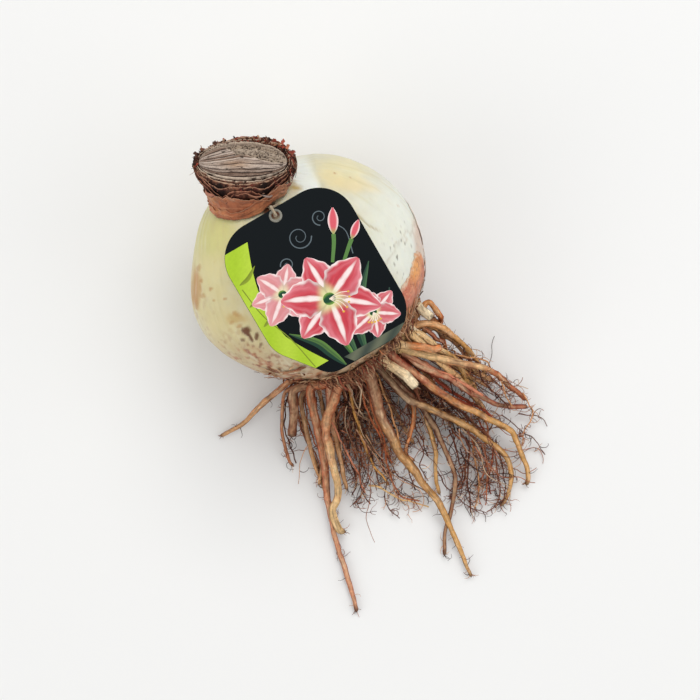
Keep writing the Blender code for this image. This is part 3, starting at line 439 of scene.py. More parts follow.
def surface(name, roughness, bumps=(), streaks=None, mottle=(0.0, 0.01), coat=0.0, coat_roughness=0.3,
            subsurface=0.0, depth=0.0003, sheen=0.0, speckle=None, gloss=0.22):
    """A material that takes its colour from each point, with fine grain, fibres and sheen."""
    mat = bpy.data.materials.new(name)
    mat.use_nodes = True
    nodes = mat.node_tree.nodes
    links = mat.node_tree.links
    shader = nodes["Principled BSDF"]
    shader.inputs["Roughness"].default_value = roughness
    shader.inputs["Coat Weight"].default_value = coat
    shader.inputs["Coat Roughness"].default_value = coat_roughness
    shader.inputs["Sheen Weight"].default_value = sheen
    shader.inputs["Specular IOR Level"].default_value = gloss
    if subsurface:
        shader.inputs["Subsurface Weight"].default_value = subsurface
        shader.inputs["Subsurface Radius"].default_value = (0.6, 0.4, 0.2)
        shader.inputs["Subsurface Scale"].default_value = 0.004
    place = nodes.new("ShaderNodeTexCoord")
    tint = nodes.new("ShaderNodeAttribute")
    tint.attribute_name = "tint"
    colour = tint.outputs["Color"]

    def noise(size, detail, stretch=None):
        texture = nodes.new("ShaderNodeTexNoise")
        texture.inputs["Detail"].default_value = detail
        texture.inputs["Roughness"].default_value = 0.6
        if stretch:
            mapping = nodes.new("ShaderNodeMapping")
            mapping.inputs["Scale"].default_value = (stretch[0], stretch[1], 1.0)
            links.new(place.outputs["UV"], mapping.inputs["Vector"])
            links.new(mapping.outputs["Vector"], texture.inputs["Vector"])
            texture.inputs["Scale"].default_value = 1.0
        else:
            links.new(place.outputs["Object"], texture.inputs["Vector"])
            texture.inputs["Scale"].default_value = 1.0 / size
        return texture.outputs["Fac"]

    def between(fac, low, high, dark, light):
        scale = nodes.new("ShaderNodeMapRange")
        scale.inputs["From Min"].default_value = low
        scale.inputs["From Max"].default_value = high
        scale.inputs["To Min"].default_value = dark
        scale.inputs["To Max"].default_value = light
        links.new(fac, scale.inputs["Value"])
        return scale.outputs["Result"]

    def shade(colour, amount):
        mix = nodes.new("ShaderNodeVectorMath")
        mix.operation = "SCALE"
        links.new(colour, mix.inputs[0])
        links.new(amount, mix.inputs["Scale"])
        return mix.outputs["Vector"]

    amount, size = mottle
    if amount:
        colour = shade(colour, between(noise(size, 4.0), 0.3, 0.7, 1.0 - amount, 1.0 + amount))
    heights = []
    for size, weight in bumps:
        heights.append((noise(size, 3.0), weight))
    if streaks:
        along, across, amount, weight = streaks
        fibre = noise(0.0, 5.0, (along, across))
        colour = shade(colour, between(fibre, 0.3, 0.7, 1.0 - amount, 1.0 + amount))
        heights.append((fibre, weight))
    if speckle:
        size, low, amount = speckle
        dots = noise(size, 2.0)
        colour = shade(colour, between(dots, low, low + 0.05, 1.0, 1.0 - amount))
    links.new(colour, shader.inputs["Base Color"])
    total = None
    for height, weight in heights:
        part = nodes.new("ShaderNodeMath")
        part.operation = "MULTIPLY"
        part.inputs[1].default_value = weight
        links.new(height, part.inputs[0])
        if total is None:
            total = part.outputs["Value"]
        else:
            both = nodes.new("ShaderNodeMath")
            links.new(total, both.inputs[0])
            links.new(part.outputs["Value"], both.inputs[1])
            total = both.outputs["Value"]
    if total is not None:
        bump = nodes.new("ShaderNodeBump")
        bump.inputs["Strength"].default_value = 0.8
        bump.inputs["Distance"].default_value = depth
        links.new(total, bump.inputs["Height"])
        links.new(bump.outputs["Normal"], shader.inputs["Normal"])
    return mat


def patch(right, down, centre, size, tilt=0.0, soft=0.35, rough=0.0, noise=0.0):
    """Share from 0 to 1 of an oval patch of the picture, at places in it."""
    turn = math.radians(tilt)
    dx = right - centre[0]
    dy = down - centre[1]
    a = (dx * math.cos(turn) + dy * math.sin(turn)) / size[0]
    b = (dy * math.cos(turn) - dx * math.sin(turn)) / size[1]
    return 1.0 - ramp(np.hypot(a, b) + rough * noise, 1.0 - soft, 1.0 + soft)


# Soft patches of the bulb's skin, one of them a painted highlight: place in the picture, size, tilt, colour, strength,
# softness, raggedness
SKIN_PATCHES = (
    ((205, 250), (38, 70), 0, tone(224, 212, 150), 0.85, 0.8, 0.3),
    ((212, 232), (22, 24), 20, tone(208, 204, 132), 0.75, 0.7, 0.4),
    ((408, 232), (38, 62), -12, tone(228, 231, 222), 0.95, 0.7, 0.3),
    ((380, 215), (22, 40), -35, tone(224, 224, 208), 0.6, 0.8, 0.5),
    # This near-white patch is a painted highlight.
    ((306, 180), (12, 24), -18, tone(242, 246, 238), 0.95, 0.35, 0.2),
    ((343, 168), (26, 12), 0, tone(236, 224, 172), 0.7, 0.8, 0.4),
    ((352, 186), (22, 7), 8, tone(236, 214, 156), 0.6, 0.7, 0.5),
    ((330, 176), (12, 8), 0, tone(238, 220, 164), 0.5, 0.7, 0.5),
    ((240, 335), (40, 32), 30, tone(214, 198, 140), 0.7, 0.8, 0.4),
    ((260, 360), (60, 16), 14, tone(190, 164, 122), 0.7, 0.7, 0.5),
    ((212, 318), (12, 40), -20, tone(218, 204, 150), 0.5, 0.8, 0.4),
    ((196, 288), (5, 16), 0, tone(190, 130, 62), 0.8, 0.6, 0.7),
    ((237, 318), (7, 5), 0, tone(196, 158, 86), 0.6, 0.7, 0.8),
    ((297, 188), (7, 4), 0, tone(190, 160, 84), 0.9, 0.6, 0.9),
    ((420, 240), (5, 24), -6, tone(206, 168, 146), 0.7, 0.6, 0.6),
    ((273, 211), (9, 8), 0, tone(104, 62, 42), 1.0, 0.3, 0.3),
)

# Small brown marks: place in the picture, size, tilt, strength
SKIN_SPOTS = (
    ((246, 331), (5.0, 4.0), 10, 0.95), ((251, 338), (3.5, 2.0), 60, 0.9), ((257, 336), (2.6, 3.4), 0, 0.85),
    ((240, 326), (4.0, 1.8), -20, 0.5), ((243, 340), (2.0, 1.4), 0, 0.7), ((261, 345), (1.2, 3.0), 20, 0.7),
    ((237, 314), (4.0, 2.4), 30, 0.4), ((232, 322), (2.4, 1.6), 0, 0.4), ((211, 289), (2.0, 1.6), 0, 0.6),
    ((225, 299), (1.8, 1.4), 0, 0.6), ((214, 300), (1.2, 1.0), 0, 0.5), ((203, 296), (3.0, 2.0), 0, 0.5),
    ((199, 268), (2.4, 3.0), 0, 0.5), ((201, 281), (1.6, 1.4), 0, 0.6), ((197, 305), (2.4, 4.0), 0, 0.5),
    ((335, 174), (1.2, 0.9), 0, 0.6), ((334, 169), (0.8, 0.8), 0, 0.5), ((242, 280), (1.4, 1.2), 0, 0.5),
    ((350, 178), (0.8, 0.7), 0, 0.4), ((398, 206), (1.0, 0.8), 0, 0.4), ((424, 262), (2.0, 5.0), 0, 0.4),
)


def skin_relief(turn, fall):
    """Places on the bulb's skin, with its faint lines and dents from -1 to 1."""
    base = on_bulb(turn, fall, 0.0)
    round_axis = np.stack((np.cos(np.radians(turn)), np.sin(np.radians(turn)), fall / 400.0), axis=-1)
    lines = grain(round_axis * (1.0, 1.0, 0.6), 0.055, 2.0) * 0.6 + grain(round_axis, 0.021, 4.0) * 0.4
    return base, lines, fractal(base, 22.0 * MM, 1.0)


def build_bulb():
    """The fleshy bulb: cream scales with stains, scabs, faint lines, the edge of an outer scale and a painted
    highlight.
    """
    rows = 176
    columns = 300
    fall = np.linspace(4.0, 176.0, rows)[:, None] + np.zeros((1, columns))
    part = np.linspace(-1.0, 1.0, columns, endpoint=False)
    turn = (360.0 + 180.0 * (0.62 * part + 0.38 * part ** 3))[None, :] + np.zeros((rows, 1))
    base, lines, dents = skin_relief(turn, fall)
    right, down = in_frame(base)
    top = ramp(base[..., 2], 30.0 * MM, 48.0 * MM)
    wobble = fractal(base, 6.0 * MM, 8.0)
    spots = grain(base, 1.6 * MM, 12.0)
    edge = (right - 318.0) - (down - 175.0) * 0.33 + 2.0 * grain(base, 9.0 * MM, 5.0)
    scale_step = ramp(edge, -0.8, 0.8) * patch(right, down, (322, 178), (30, 30), soft=0.5) * top
    low_edge = ramp(np.abs(fall - (86.0 + 7.0 * wobble + 6.0 * np.sin(np.radians(turn * 2.0)))), 0.0, 1.6)
    lift = (0.16 * lines + 0.22 * dents + 0.35 * scale_step) * MM - 0.12 * MM * (1.0 - low_edge)
    colour = np.zeros(base.shape) + tone(218, 213, 186)
    under = 1.0 - top
    colour = blend(colour, tone(206, 190, 140), under * 0.7)
    colour = blend(colour, tone(186, 160, 112), under * ramp(wobble, 0.0, 0.6) * 0.6)
    # The skin patches include a painted highlight.
    for centre, size, tilt, paint, strength, soft, rough in SKIN_PATCHES:
        share = patch(right, down, centre, size, tilt, soft, rough, wobble)
        colour = blend(colour, paint, share * strength * top)
    colour = blend(colour, tone(205, 192, 140), ramp(lines, 0.15, 0.6) * 0.35)
    colour = blend(colour, tone(232, 232, 212), ramp(-lines, 0.2, 0.6) * 0.30)
    colour = blend(colour, tone(150, 120, 78), (1.0 - low_edge) * 0.25)
    near_root = 1.0 - ramp(fall + 9.0 * wobble + 4.0 * spots, 52.0, 74.0)
    colour = blend(colour, tone(186, 146, 106), near_root * 0.75)
    colour = blend(colour, tone(128, 78, 52), near_root * ramp(spots + 0.6 * wobble, 0.3, 0.75) * 0.55)
    low_left = patch(right, down, (268, 359), (68, 14), 13, 0.6, 0.5, wobble)
    blotches = grain(base, 2.6 * MM, 29.0)
    flecks = ramp(spots + 0.7 * grain(base, 0.8 * MM, 27.0) + 0.4 * blotches, 0.25, 0.8)
    colour = blend(colour, tone(140, 84, 56), flecks * low_left * 0.6)
    low_edge_rim = patch(right, down, (262, 366), (74, 11), 13, 0.6, 0.6, wobble)
    colour = blend(colour, tone(176, 90, 46), ramp(blotches + 0.6 * spots, 0.05, 0.5) * low_edge_rim * 0.62)
    colour = blend(colour, tone(106, 54, 30), ramp(spots + 0.5 * blotches, 0.45, 0.9) * low_edge_rim * 0.75)
    left_rim = ramp(-base[..., 1], 30.0 * MM, 44.0 * MM) * (1.0 - ramp(fall, 100.0, 135.0))
    dirt = ramp(spots * 0.5 + wobble * 0.8 + left_rim * 0.3, 0.45, 1.05)
    colour = blend(colour, tone(176, 130, 84), dirt * left_rim * 0.4)
    for centre, size, tilt, strength in SKIN_SPOTS:
        share = patch(right, down, centre, size, tilt, 0.35, 0.8, spots * 0.6) * top
        colour = blend(colour, tone(98, 44, 6) if strength > 0.65 else tone(180, 116, 46), share * strength)
        lift = lift + share * 0.22 * MM
    crack = np.abs((down - 212.0) - (right - 350.0) * 0.62 - 2.5 * grain(base, 7.0 * MM, 15.0))
    crack = (1.0 - ramp(crack, 0.5, 1.6)) * patch(right, down, (362, 222), (20, 16), soft=0.4) * top
    colour = blend(colour, tone(176, 160, 116), crack * 0.7)
    lift = lift - crack * 0.25 * MM
    speck = ramp(grain(base, 0.9 * MM, 21.0), 0.62, 0.8) * patch(right, down, (403, 250), (15, 28), -8, 0.6)
    colour = blend(colour, tone(92, 78, 62), speck * top * 0.8)
    around = ramp(grain(base, 1.2 * MM, 23.0), 0.8, 0.95) * (0.25 + 0.75 * near_root)
    colour = blend(colour, tone(190, 146, 88), around * 0.6)
    points = on_bulb(turn, fall, lift)
    points[..., 2] = np.maximum(points[..., 2], 0.0)
    uvs = np.stack(((turn - 180.0) / 360.0, fall / 180.0), axis=-1)
    faces = grid_faces(rows, columns, True).tolist()
    faces.append(list(range(columns)))
    faces.append([(rows - 1) * columns + k for k in reversed(range(columns))])
    mat = surface("bulb_flesh", 0.42, bumps=((0.004, 0.5), (0.0009, 0.25)), streaks=(6.0, 3.0, 0.03, 0.5),
                  mottle=(0.035, 0.006), coat=0.06, coat_roughness=0.35, subsurface=0.12, depth=0.0004, gloss=0.3)
    return add_piece("bulb_flesh", points, faces, mat, colour, uvs, "bulb")


def build_cut_face():
    """The neck's cut end: thin leaf bases, each a long lens, with gaps and pits between them that hold painted shade.
    """
    rng = np.random.default_rng(3)
    rows = 250
    columns = 156
    leaves = 27
    lens = np.linspace(-1.0, 1.0, rows)[:, None] + np.zeros((1, columns))
    along = np.sin(np.linspace(-1.0, 1.0, columns) * math.asin(0.992))[None, :] + np.zeros((rows, 1))
    flat = np.stack((along * 2.0, lens, np.zeros_like(lens)), axis=-1)
    swing = 0.11 * (1.0 - lens ** 2) * np.sin(2.6 * along + 0.9)
    warp = lens + swing + 0.07 * grain(flat, 0.8, 1.0) + 0.018 * grain(flat, 0.22, 2.0)
    edges = np.cumsum(rng.uniform(0.5, 1.6, leaves))
    edges = np.concatenate(([0.0], edges)) / edges[-1] * 2.4 - 1.2
    index = np.clip(np.searchsorted(edges, warp.ravel()) - 1, 0, leaves - 1).reshape(warp.shape)
    phase = (warp - edges[index]) / (edges[index + 1] - edges[index])
    ridge = np.clip(1.0 - np.abs(2.0 * phase - 1.0) ** 4.0, 0.0, 1.0)
    border = -0.34 + 0.52 * ramp(along, -0.2, 0.95) - 0.45 * (1.0 - ramp(along, -0.5, -0.1))
    apart = 1.0 - ramp(lens, border - 0.03, border + 0.03)
    groove = np.exp(-((lens - border) / 0.03) ** 2) + 0.8 * np.exp(-((np.abs(lens) - 0.9) / 0.022) ** 2)
    pale_rim = ramp(np.abs(lens), 0.925, 0.96) + 0.7 * np.exp(-((lens - border - 0.06) / 0.025) ** 2)
    taper = 1.0 - along ** 6
    step = rng.uniform(-0.35, 0.45, leaves)[index]
    fibre = grain(np.stack((along * 6.0, warp * 70.0, lens * 0.0), axis=-1), 1.0, 5.0)
    pits = ramp(grain(np.stack((along * 9.0, warp * 17.0, lens * 0.0), axis=-1), 1.0, 7.0), 0.45, 0.75)
    across = FACE_HALF[0] * along
    front = np.sqrt(1.0 - along ** 2) * (FACE_HALF[1] * lens) - FACE_BACK * (1.0 - along ** 2)
    flat_place = np.stack((across, front, np.zeros_like(front)), axis=-1)
    dots = ramp(grain(flat_place, 0.36 * MM, 9.0) + 0.35 * grain(flat_place, 1.3 * MM, 10.0), 0.0, 0.35)
    height = (ridge * 0.6 + step) * (1.0 - 0.8 * apart) + 0.12 * fibre - 0.75 * pits * (1.0 - ridge * 0.4)
    height = (height - apart * (0.3 + 0.5 * dots) - 0.9 * groove + 0.4 * pale_rim) * taper * MM
    bowl = -1.2 * MM * (1.0 - lens ** 2) * taper * 0.4
    points = (CUT_MIDDLE + across[..., None] * NECK_ACROSS + front[..., None] * NECK_FRONT
              + (height + bowl)[..., None] * NECK_WAY)
    shade = rng.uniform(0.0, 1.0, leaves)[index]
    colour = np.zeros(points.shape) + tone(168, 148, 134)
    colour = blend(colour, tone(206, 188, 174), ramp(shade, 0.45, 0.9) * 0.85)
    colour = blend(colour, tone(132, 104, 86), (1.0 - ramp(shade, 0.1, 0.4)) * 0.85)
    warm = np.exp(-((along + 0.15) / 0.3) ** 2 - ((lens - 0.25) / 0.22) ** 2)
    colour = blend(colour, tone(182, 138, 96), warm * 0.6)
    colour = blend(colour, tone(104, 84, 74), ramp(fibre, 0.0, 0.6) * 0.6)
    colour = blend(colour, tone(222, 206, 190), ramp(-fibre, 0.2, 0.7) * 0.35)
    # Painted shade in the gaps between the leaf bases and in the pits.
    colour = blend(colour, tone(38, 26, 23), (1.0 - ramp(ridge, 0.35, 0.85)) * (1.0 - 0.7 * apart) * 0.94)
    colour = blend(colour, tone(34, 24, 20), pits * 0.85)
    colour = blend(colour, tone(178, 160, 138), apart * 0.6)
    # Painted shade in the dents of the pitted crescent.
    colour = blend(colour, tone(52, 38, 32), dots * apart * 0.92)
    colour = blend(colour, tone(60, 44, 36), dots * ramp(lens, 0.3, 0.8) * 0.4)
    colour = blend(colour, tone(210, 190, 170), np.clip(pale_rim, 0.0, 1.0) * 0.75)
    # Painted shade along the grooves.
    colour = blend(colour, tone(40, 27, 23), np.clip(groove, 0.0, 1.0) * 0.9)
    uvs = np.stack((along, lens), axis=-1)
    faces = grid_faces(rows, columns).tolist()
    outline = [k for k in range(columns)]
    outline += [row * columns + columns - 1 for row in range(1, rows)]
    outline += [(rows - 1) * columns + k for k in range(columns - 2, -1, -1)]
    outline += [row * columns for row in range(rows - 2, 0, -1)]
    rim = points.reshape(-1, 3)[outline]
    walls = [points.reshape(-1, 3)]
    tints = [colour.reshape(-1, 3)]
    coords = [uvs.reshape(-1, 2)]
    previous = outline
    total = rows * columns
    for depth in (1.0, 3.5, 8.0, 14.0):
        depth = depth * MM
        offset = rim - CUT_MIDDLE
        angle = np.arctan2(offset @ NECK_FRONT / STUMP_HALF[1], offset @ NECK_ACROSS / STUMP_HALF[0])
        ring = neck_place(angle, -0.25 * MM + 0.2 * MM * np.sin(angle * 23.0), depth)
        walls.append(ring)
        tints.append(np.zeros(ring.shape) + tone(70, 46, 34))
        coords.append(np.stack((angle, np.full(len(ring), depth * 100.0)), axis=1))
        current = [total + k for k in range(len(ring))]
        for k in range(len(ring)):
            n = (k + 1) % len(ring)
            faces.append([previous[n], previous[k], current[k], current[n]])
        previous = current
        total += len(ring)
    mat = surface("leaf_bases", 0.88, bumps=((0.0005, 0.6),), mottle=(0.22, 0.0006), depth=0.0003)
    return add_piece("cut_leaf_face", np.vstack(walls), faces, mat, np.vstack(tints), np.vstack(coords),
                     "neck_stump")


def neck_sheet(name, rows, columns, rim, foot, out, tint, mat, replaces, wall, span=(0.0, 2.0 * math.pi)):
    """A dry layer round the neck between a torn rim and a foot, both depths below the cut."""
    closed = span[1] - span[0] > 6.28
    angle = np.linspace(span[0], span[1], columns, endpoint=not closed)[None, :] + np.zeros((rows, 1))
    v = np.linspace(0.0, 1.0, rows)[:, None] ** 1.5 + np.zeros((1, columns))
    top = rim(angle)
    bottom = foot(angle)
    depth = top + (bottom - top) * v
    points = neck_place(angle, out(angle, v), depth)
    colour = tint(points, angle, v)
    uvs = np.stack((angle / (2.0 * math.pi), v), axis=-1)
    piece = add_piece(name, points, grid_faces(rows, columns, closed), mat, colour, uvs, replaces)
    thicken(piece, wall)
    return piece


def round_noise(angle, size, seed):
    """Noise that goes round the neck without a seam."""
    ring = np.stack((np.cos(angle), np.sin(angle), np.zeros_like(angle) + 0.37), axis=-1)
    return grain(ring, size, seed)


def tall_back(angle):
    """Where the torn rim stands tallest, at the back right of the neck."""
    corner = np.angle(np.exp(1j * (angle - math.radians(300))))
    return np.exp(-(corner / math.radians(46)) ** 2)


def build_sleeve():
    """Brown fibrous layers round the cut, nested with pale torn rims, with painted shade in the hollows between them
    and lower down each layer.
    """
    mat = surface("fibre_layers", 0.85, bumps=((0.0008, 0.5), (0.0003, 0.4)), streaks=(60.0, 5.0, 0.35, 0.8),
                  mottle=(0.28, 0.0012), depth=0.0004)
    layers = (
        (0.15, 0.4, tone(206, 184, 162), tone(122, 88, 70)),
        (0.55, 1.5, tone(190, 156, 130), tone(104, 62, 48)),
        (0.95, 2.7, tone(182, 138, 112), tone(92, 48, 40)),
        (1.40, 4.1, tone(176, 122, 96), tone(110, 64, 50)),
        (1.90, 5.8, tone(170, 116, 92), tone(96, 54, 42)),
    )
    for index, (out_mm, rim_mm, edge_tone, body_tone) in enumerate(layers):
        def rim(angle, index=index, rim_mm=rim_mm):
            rough = 0.6 * round_noise(angle, 0.45, index) + 0.35 * round_noise(angle, 0.16, index + 4)
            rough = rough + 0.25 * round_noise(angle, 0.05, index + 9)
            back = 0.5 - 0.5 * np.sin(angle)
            high = 0.5 + 0.4 * back + (1.3 + 0.3 * index) * tall_back(angle)
            hollow = (near_angle(angle, 122.0, 15.0) * 1.3 + near_angle(angle, 60.0, 13.0)) * max(index - 1, 0) * 2.0
            return (rim_mm * (1.0 - 0.85 * back) + 0.6 - high + hollow - rough * (0.45 + 0.34 * index)) * MM

        def foot(angle):
            return neck_depths(angle, 1.6 * MM, 2.2 * MM)

        def out(angle, v, index=index, out_mm=out_mm):
            back = 0.5 - 0.5 * np.sin(angle)
            pleat = 0.12 * (1.0 + np.sin(angle * (19 + 4 * index) + 5.0 * v))
            crumple = 0.16 * round_noise(angle + 0.7 * v, 0.12, index + 20)
            flare = (0.25 + 0.4 * tall_back(angle)) * (1.0 - ramp(v, 0.0, 0.25))
            inward = 0.4 * index * ramp(v, 0.1, 0.5)
            return (out_mm + 2.2 * back ** 2 * (1.0 - ramp(v, 0.2, 0.7)) + pleat + crumple + flare - inward) * MM

        def tint(points, angle, v, edge_tone=edge_tone, body_tone=body_tone, index=index):
            noise = grain(points, 0.9 * MM, index)
            wide = grain(points, 3.0 * MM, index + 3)
            folds = grain(np.stack((np.cos(angle) * 14.0, np.sin(angle) * 14.0, v * 2.0), axis=-1), 1.0, index + 5)
            colour = np.zeros(points.shape) + body_tone
            colour = blend(colour, tone(160, 108, 82), ramp(folds + 0.4 * wide, 0.15, 0.6) * 0.7)
            colour = blend(colour, tone(58, 32, 26), ramp(-folds, 0.1, 0.6) * 0.75)
            colour = blend(colour, tone(150, 66, 52), ramp(noise, 0.2, 0.8) * (0.25 + 0.5 * tall_back(angle)))
            colour = blend(colour, tone(30, 19, 15), ramp(-noise, 0.3, 0.8) * 0.6)
            # Painted shade in the two hollows between the layers, and lower down each layer where the next one covers
            # it.
            hollow = near_angle(angle, 122.0, 20.0) + near_angle(angle, 60.0, 16.0)
            colour = blend(colour, tone(24, 15, 12), np.clip(hollow, 0.0, 1.0) * ramp(v, 0.03, 0.10) * 0.95)
            colour = blend(colour, tone(36, 22, 17), ramp(v, 0.3, 0.7) * 0.5)
            return blend(colour, edge_tone, (1.0 - ramp(v + 0.03 * noise, 0.012, 0.045)) * 0.95)

        neck_sheet("fibre_layer_%d" % index, 18, 320, rim, foot, out, tint, mat,
                   "neck_sleeve", 0.12 * MM)
    return mat


def collar_tint(points, angle, v):
    """Terracotta paper with paler creases, dark folds, a pale torn edge and painted shade at its foot."""
    wide = fractal(points, 7.0 * MM, 31.0)
    fine = grain(points, 1.3 * MM, 33.0)
    small = grain(points, 0.6 * MM, 37.0)
    rings = grain(np.stack((angle * 2.0, v * 14.0, wide), axis=-1), 1.0, 35.0)
    colour = np.zeros(points.shape) + tone(170, 100, 66)
    colour = blend(colour, tone(210, 138, 94), ramp(wide, 0.0, 0.6) * 0.7)
    colour = blend(colour, tone(122, 64, 42), ramp(-wide, 0.1, 0.7) * 0.7)
    colour = blend(colour, tone(212, 156, 116), ramp(rings, 0.3, 0.7) * 0.4)
    colour = blend(colour, tone(88, 46, 32), ramp(-rings, 0.3, 0.7) * 0.5)
    colour = blend(colour, tone(100, 52, 36), ramp(small + 0.5 * fine, 0.5, 0.9) * 0.5)
    colour = blend(colour, tone(214, 150, 92), near_angle(angle, 150.0, 20.0) * (1.0 - ramp(v, 0.1, 0.5)) * 0.6)
    colour = blend(colour, tone(150, 108, 80), near_angle(angle, 30.0, 30.0) * 0.4)
    colour = blend(colour, tone(190, 146, 116), (1.0 - ramp(v + 0.02 * fine, 0.008, 0.03)) * 0.6)
    # Painted shade at the foot, where the paper meets the bulb.
    return blend(colour, tone(92, 52, 36), ramp(v + 0.06 * fine, 0.88, 1.0) * 0.55)


def build_collar():
    """The papery collar: a wrinkled sheet with a curled torn edge, and loose layers over it."""
    mat = surface("papery_tunic", 0.62, bumps=((0.0022, 0.6), (0.0007, 0.35)),
                  streaks=(36.0, 4.0, 0.14, 0.7), mottle=(0.12, 0.003), coat=0.06, depth=0.0005, sheen=0.1)

    def lip(angle):
        turn = np.angle(np.exp(1j * (angle - STRING_EXIT)))
        rough = 0.3 * (1.0 + round_noise(angle, 0.16, 3)) + 0.15 * round_noise(angle, 0.05, 6)
        return (0.5 + rough + 2.4 * np.exp(-(turn / math.radians(17)) ** 2)) * MM

    def foot(angle):
        return np.minimum(neck_depths(angle, 2.2 * MM, lip(angle)), neck_depths(angle, 3.2 * MM, lip(angle)))

    def rim(angle):
        left = np.maximum(-np.cos(angle), 0.0) ** 2
        right = np.maximum(np.cos(angle), 0.0)
        rough = 1.2 * round_noise(angle, 0.33, 5) + 0.8 * round_noise(angle, 0.11, 1)
        rough = rough + 0.4 * round_noise(angle, 0.035, 2)
        return np.minimum((8.6 + 3.8 * left + 1.6 * right - rough) * MM, foot(angle) - 3.0 * MM)

    def out(angle, v):
        ring = np.stack((np.cos(angle) * 9.0, np.sin(angle) * 9.0, v * 3.0), axis=-1)
        creases = 0.30 * grain(ring, 1.0, 41.0) + 0.16 * grain(ring * (2.6, 2.6, 1.5), 1.0, 43.0)
        rings = 0.12 * grain(np.stack((np.cos(angle), np.sin(angle), v * 9.0), axis=-1), 1.0, 45.0)
        gape = 0.7 * (1.0 - ramp(v, 0.0, 0.3)) * (0.2 + 1.2 * np.maximum(np.sin(angle), 0.0))
        return (2.35 + creases + rings + gape + 0.3 * v) * MM

    neck_sheet("collar_paper", 42, 330, rim, foot, out, collar_tint, mat, "tunic_collar", 0.22 * MM)

    def over_rim(angle):
        rough = 2.0 * round_noise(angle, 0.4, 11) + 1.2 * round_noise(angle, 0.1, 12)
        return foot(angle) - (4.6 + 1.8 * np.sin(angle * 1.5) + rough) * MM

    def over_out(angle, v):
        return out(angle, 0.35 + 0.65 * v) + (0.35 + 0.35 * (1.0 - ramp(v, 0.0, 0.2))) * MM

    neck_sheet("collar_outer_paper", 26, 200, over_rim, lambda angle: foot(angle) - 0.3 * MM, over_out,
               collar_tint, mat, "tunic_collar", 0.2 * MM, (math.radians(20), math.radians(205)))
    return mat


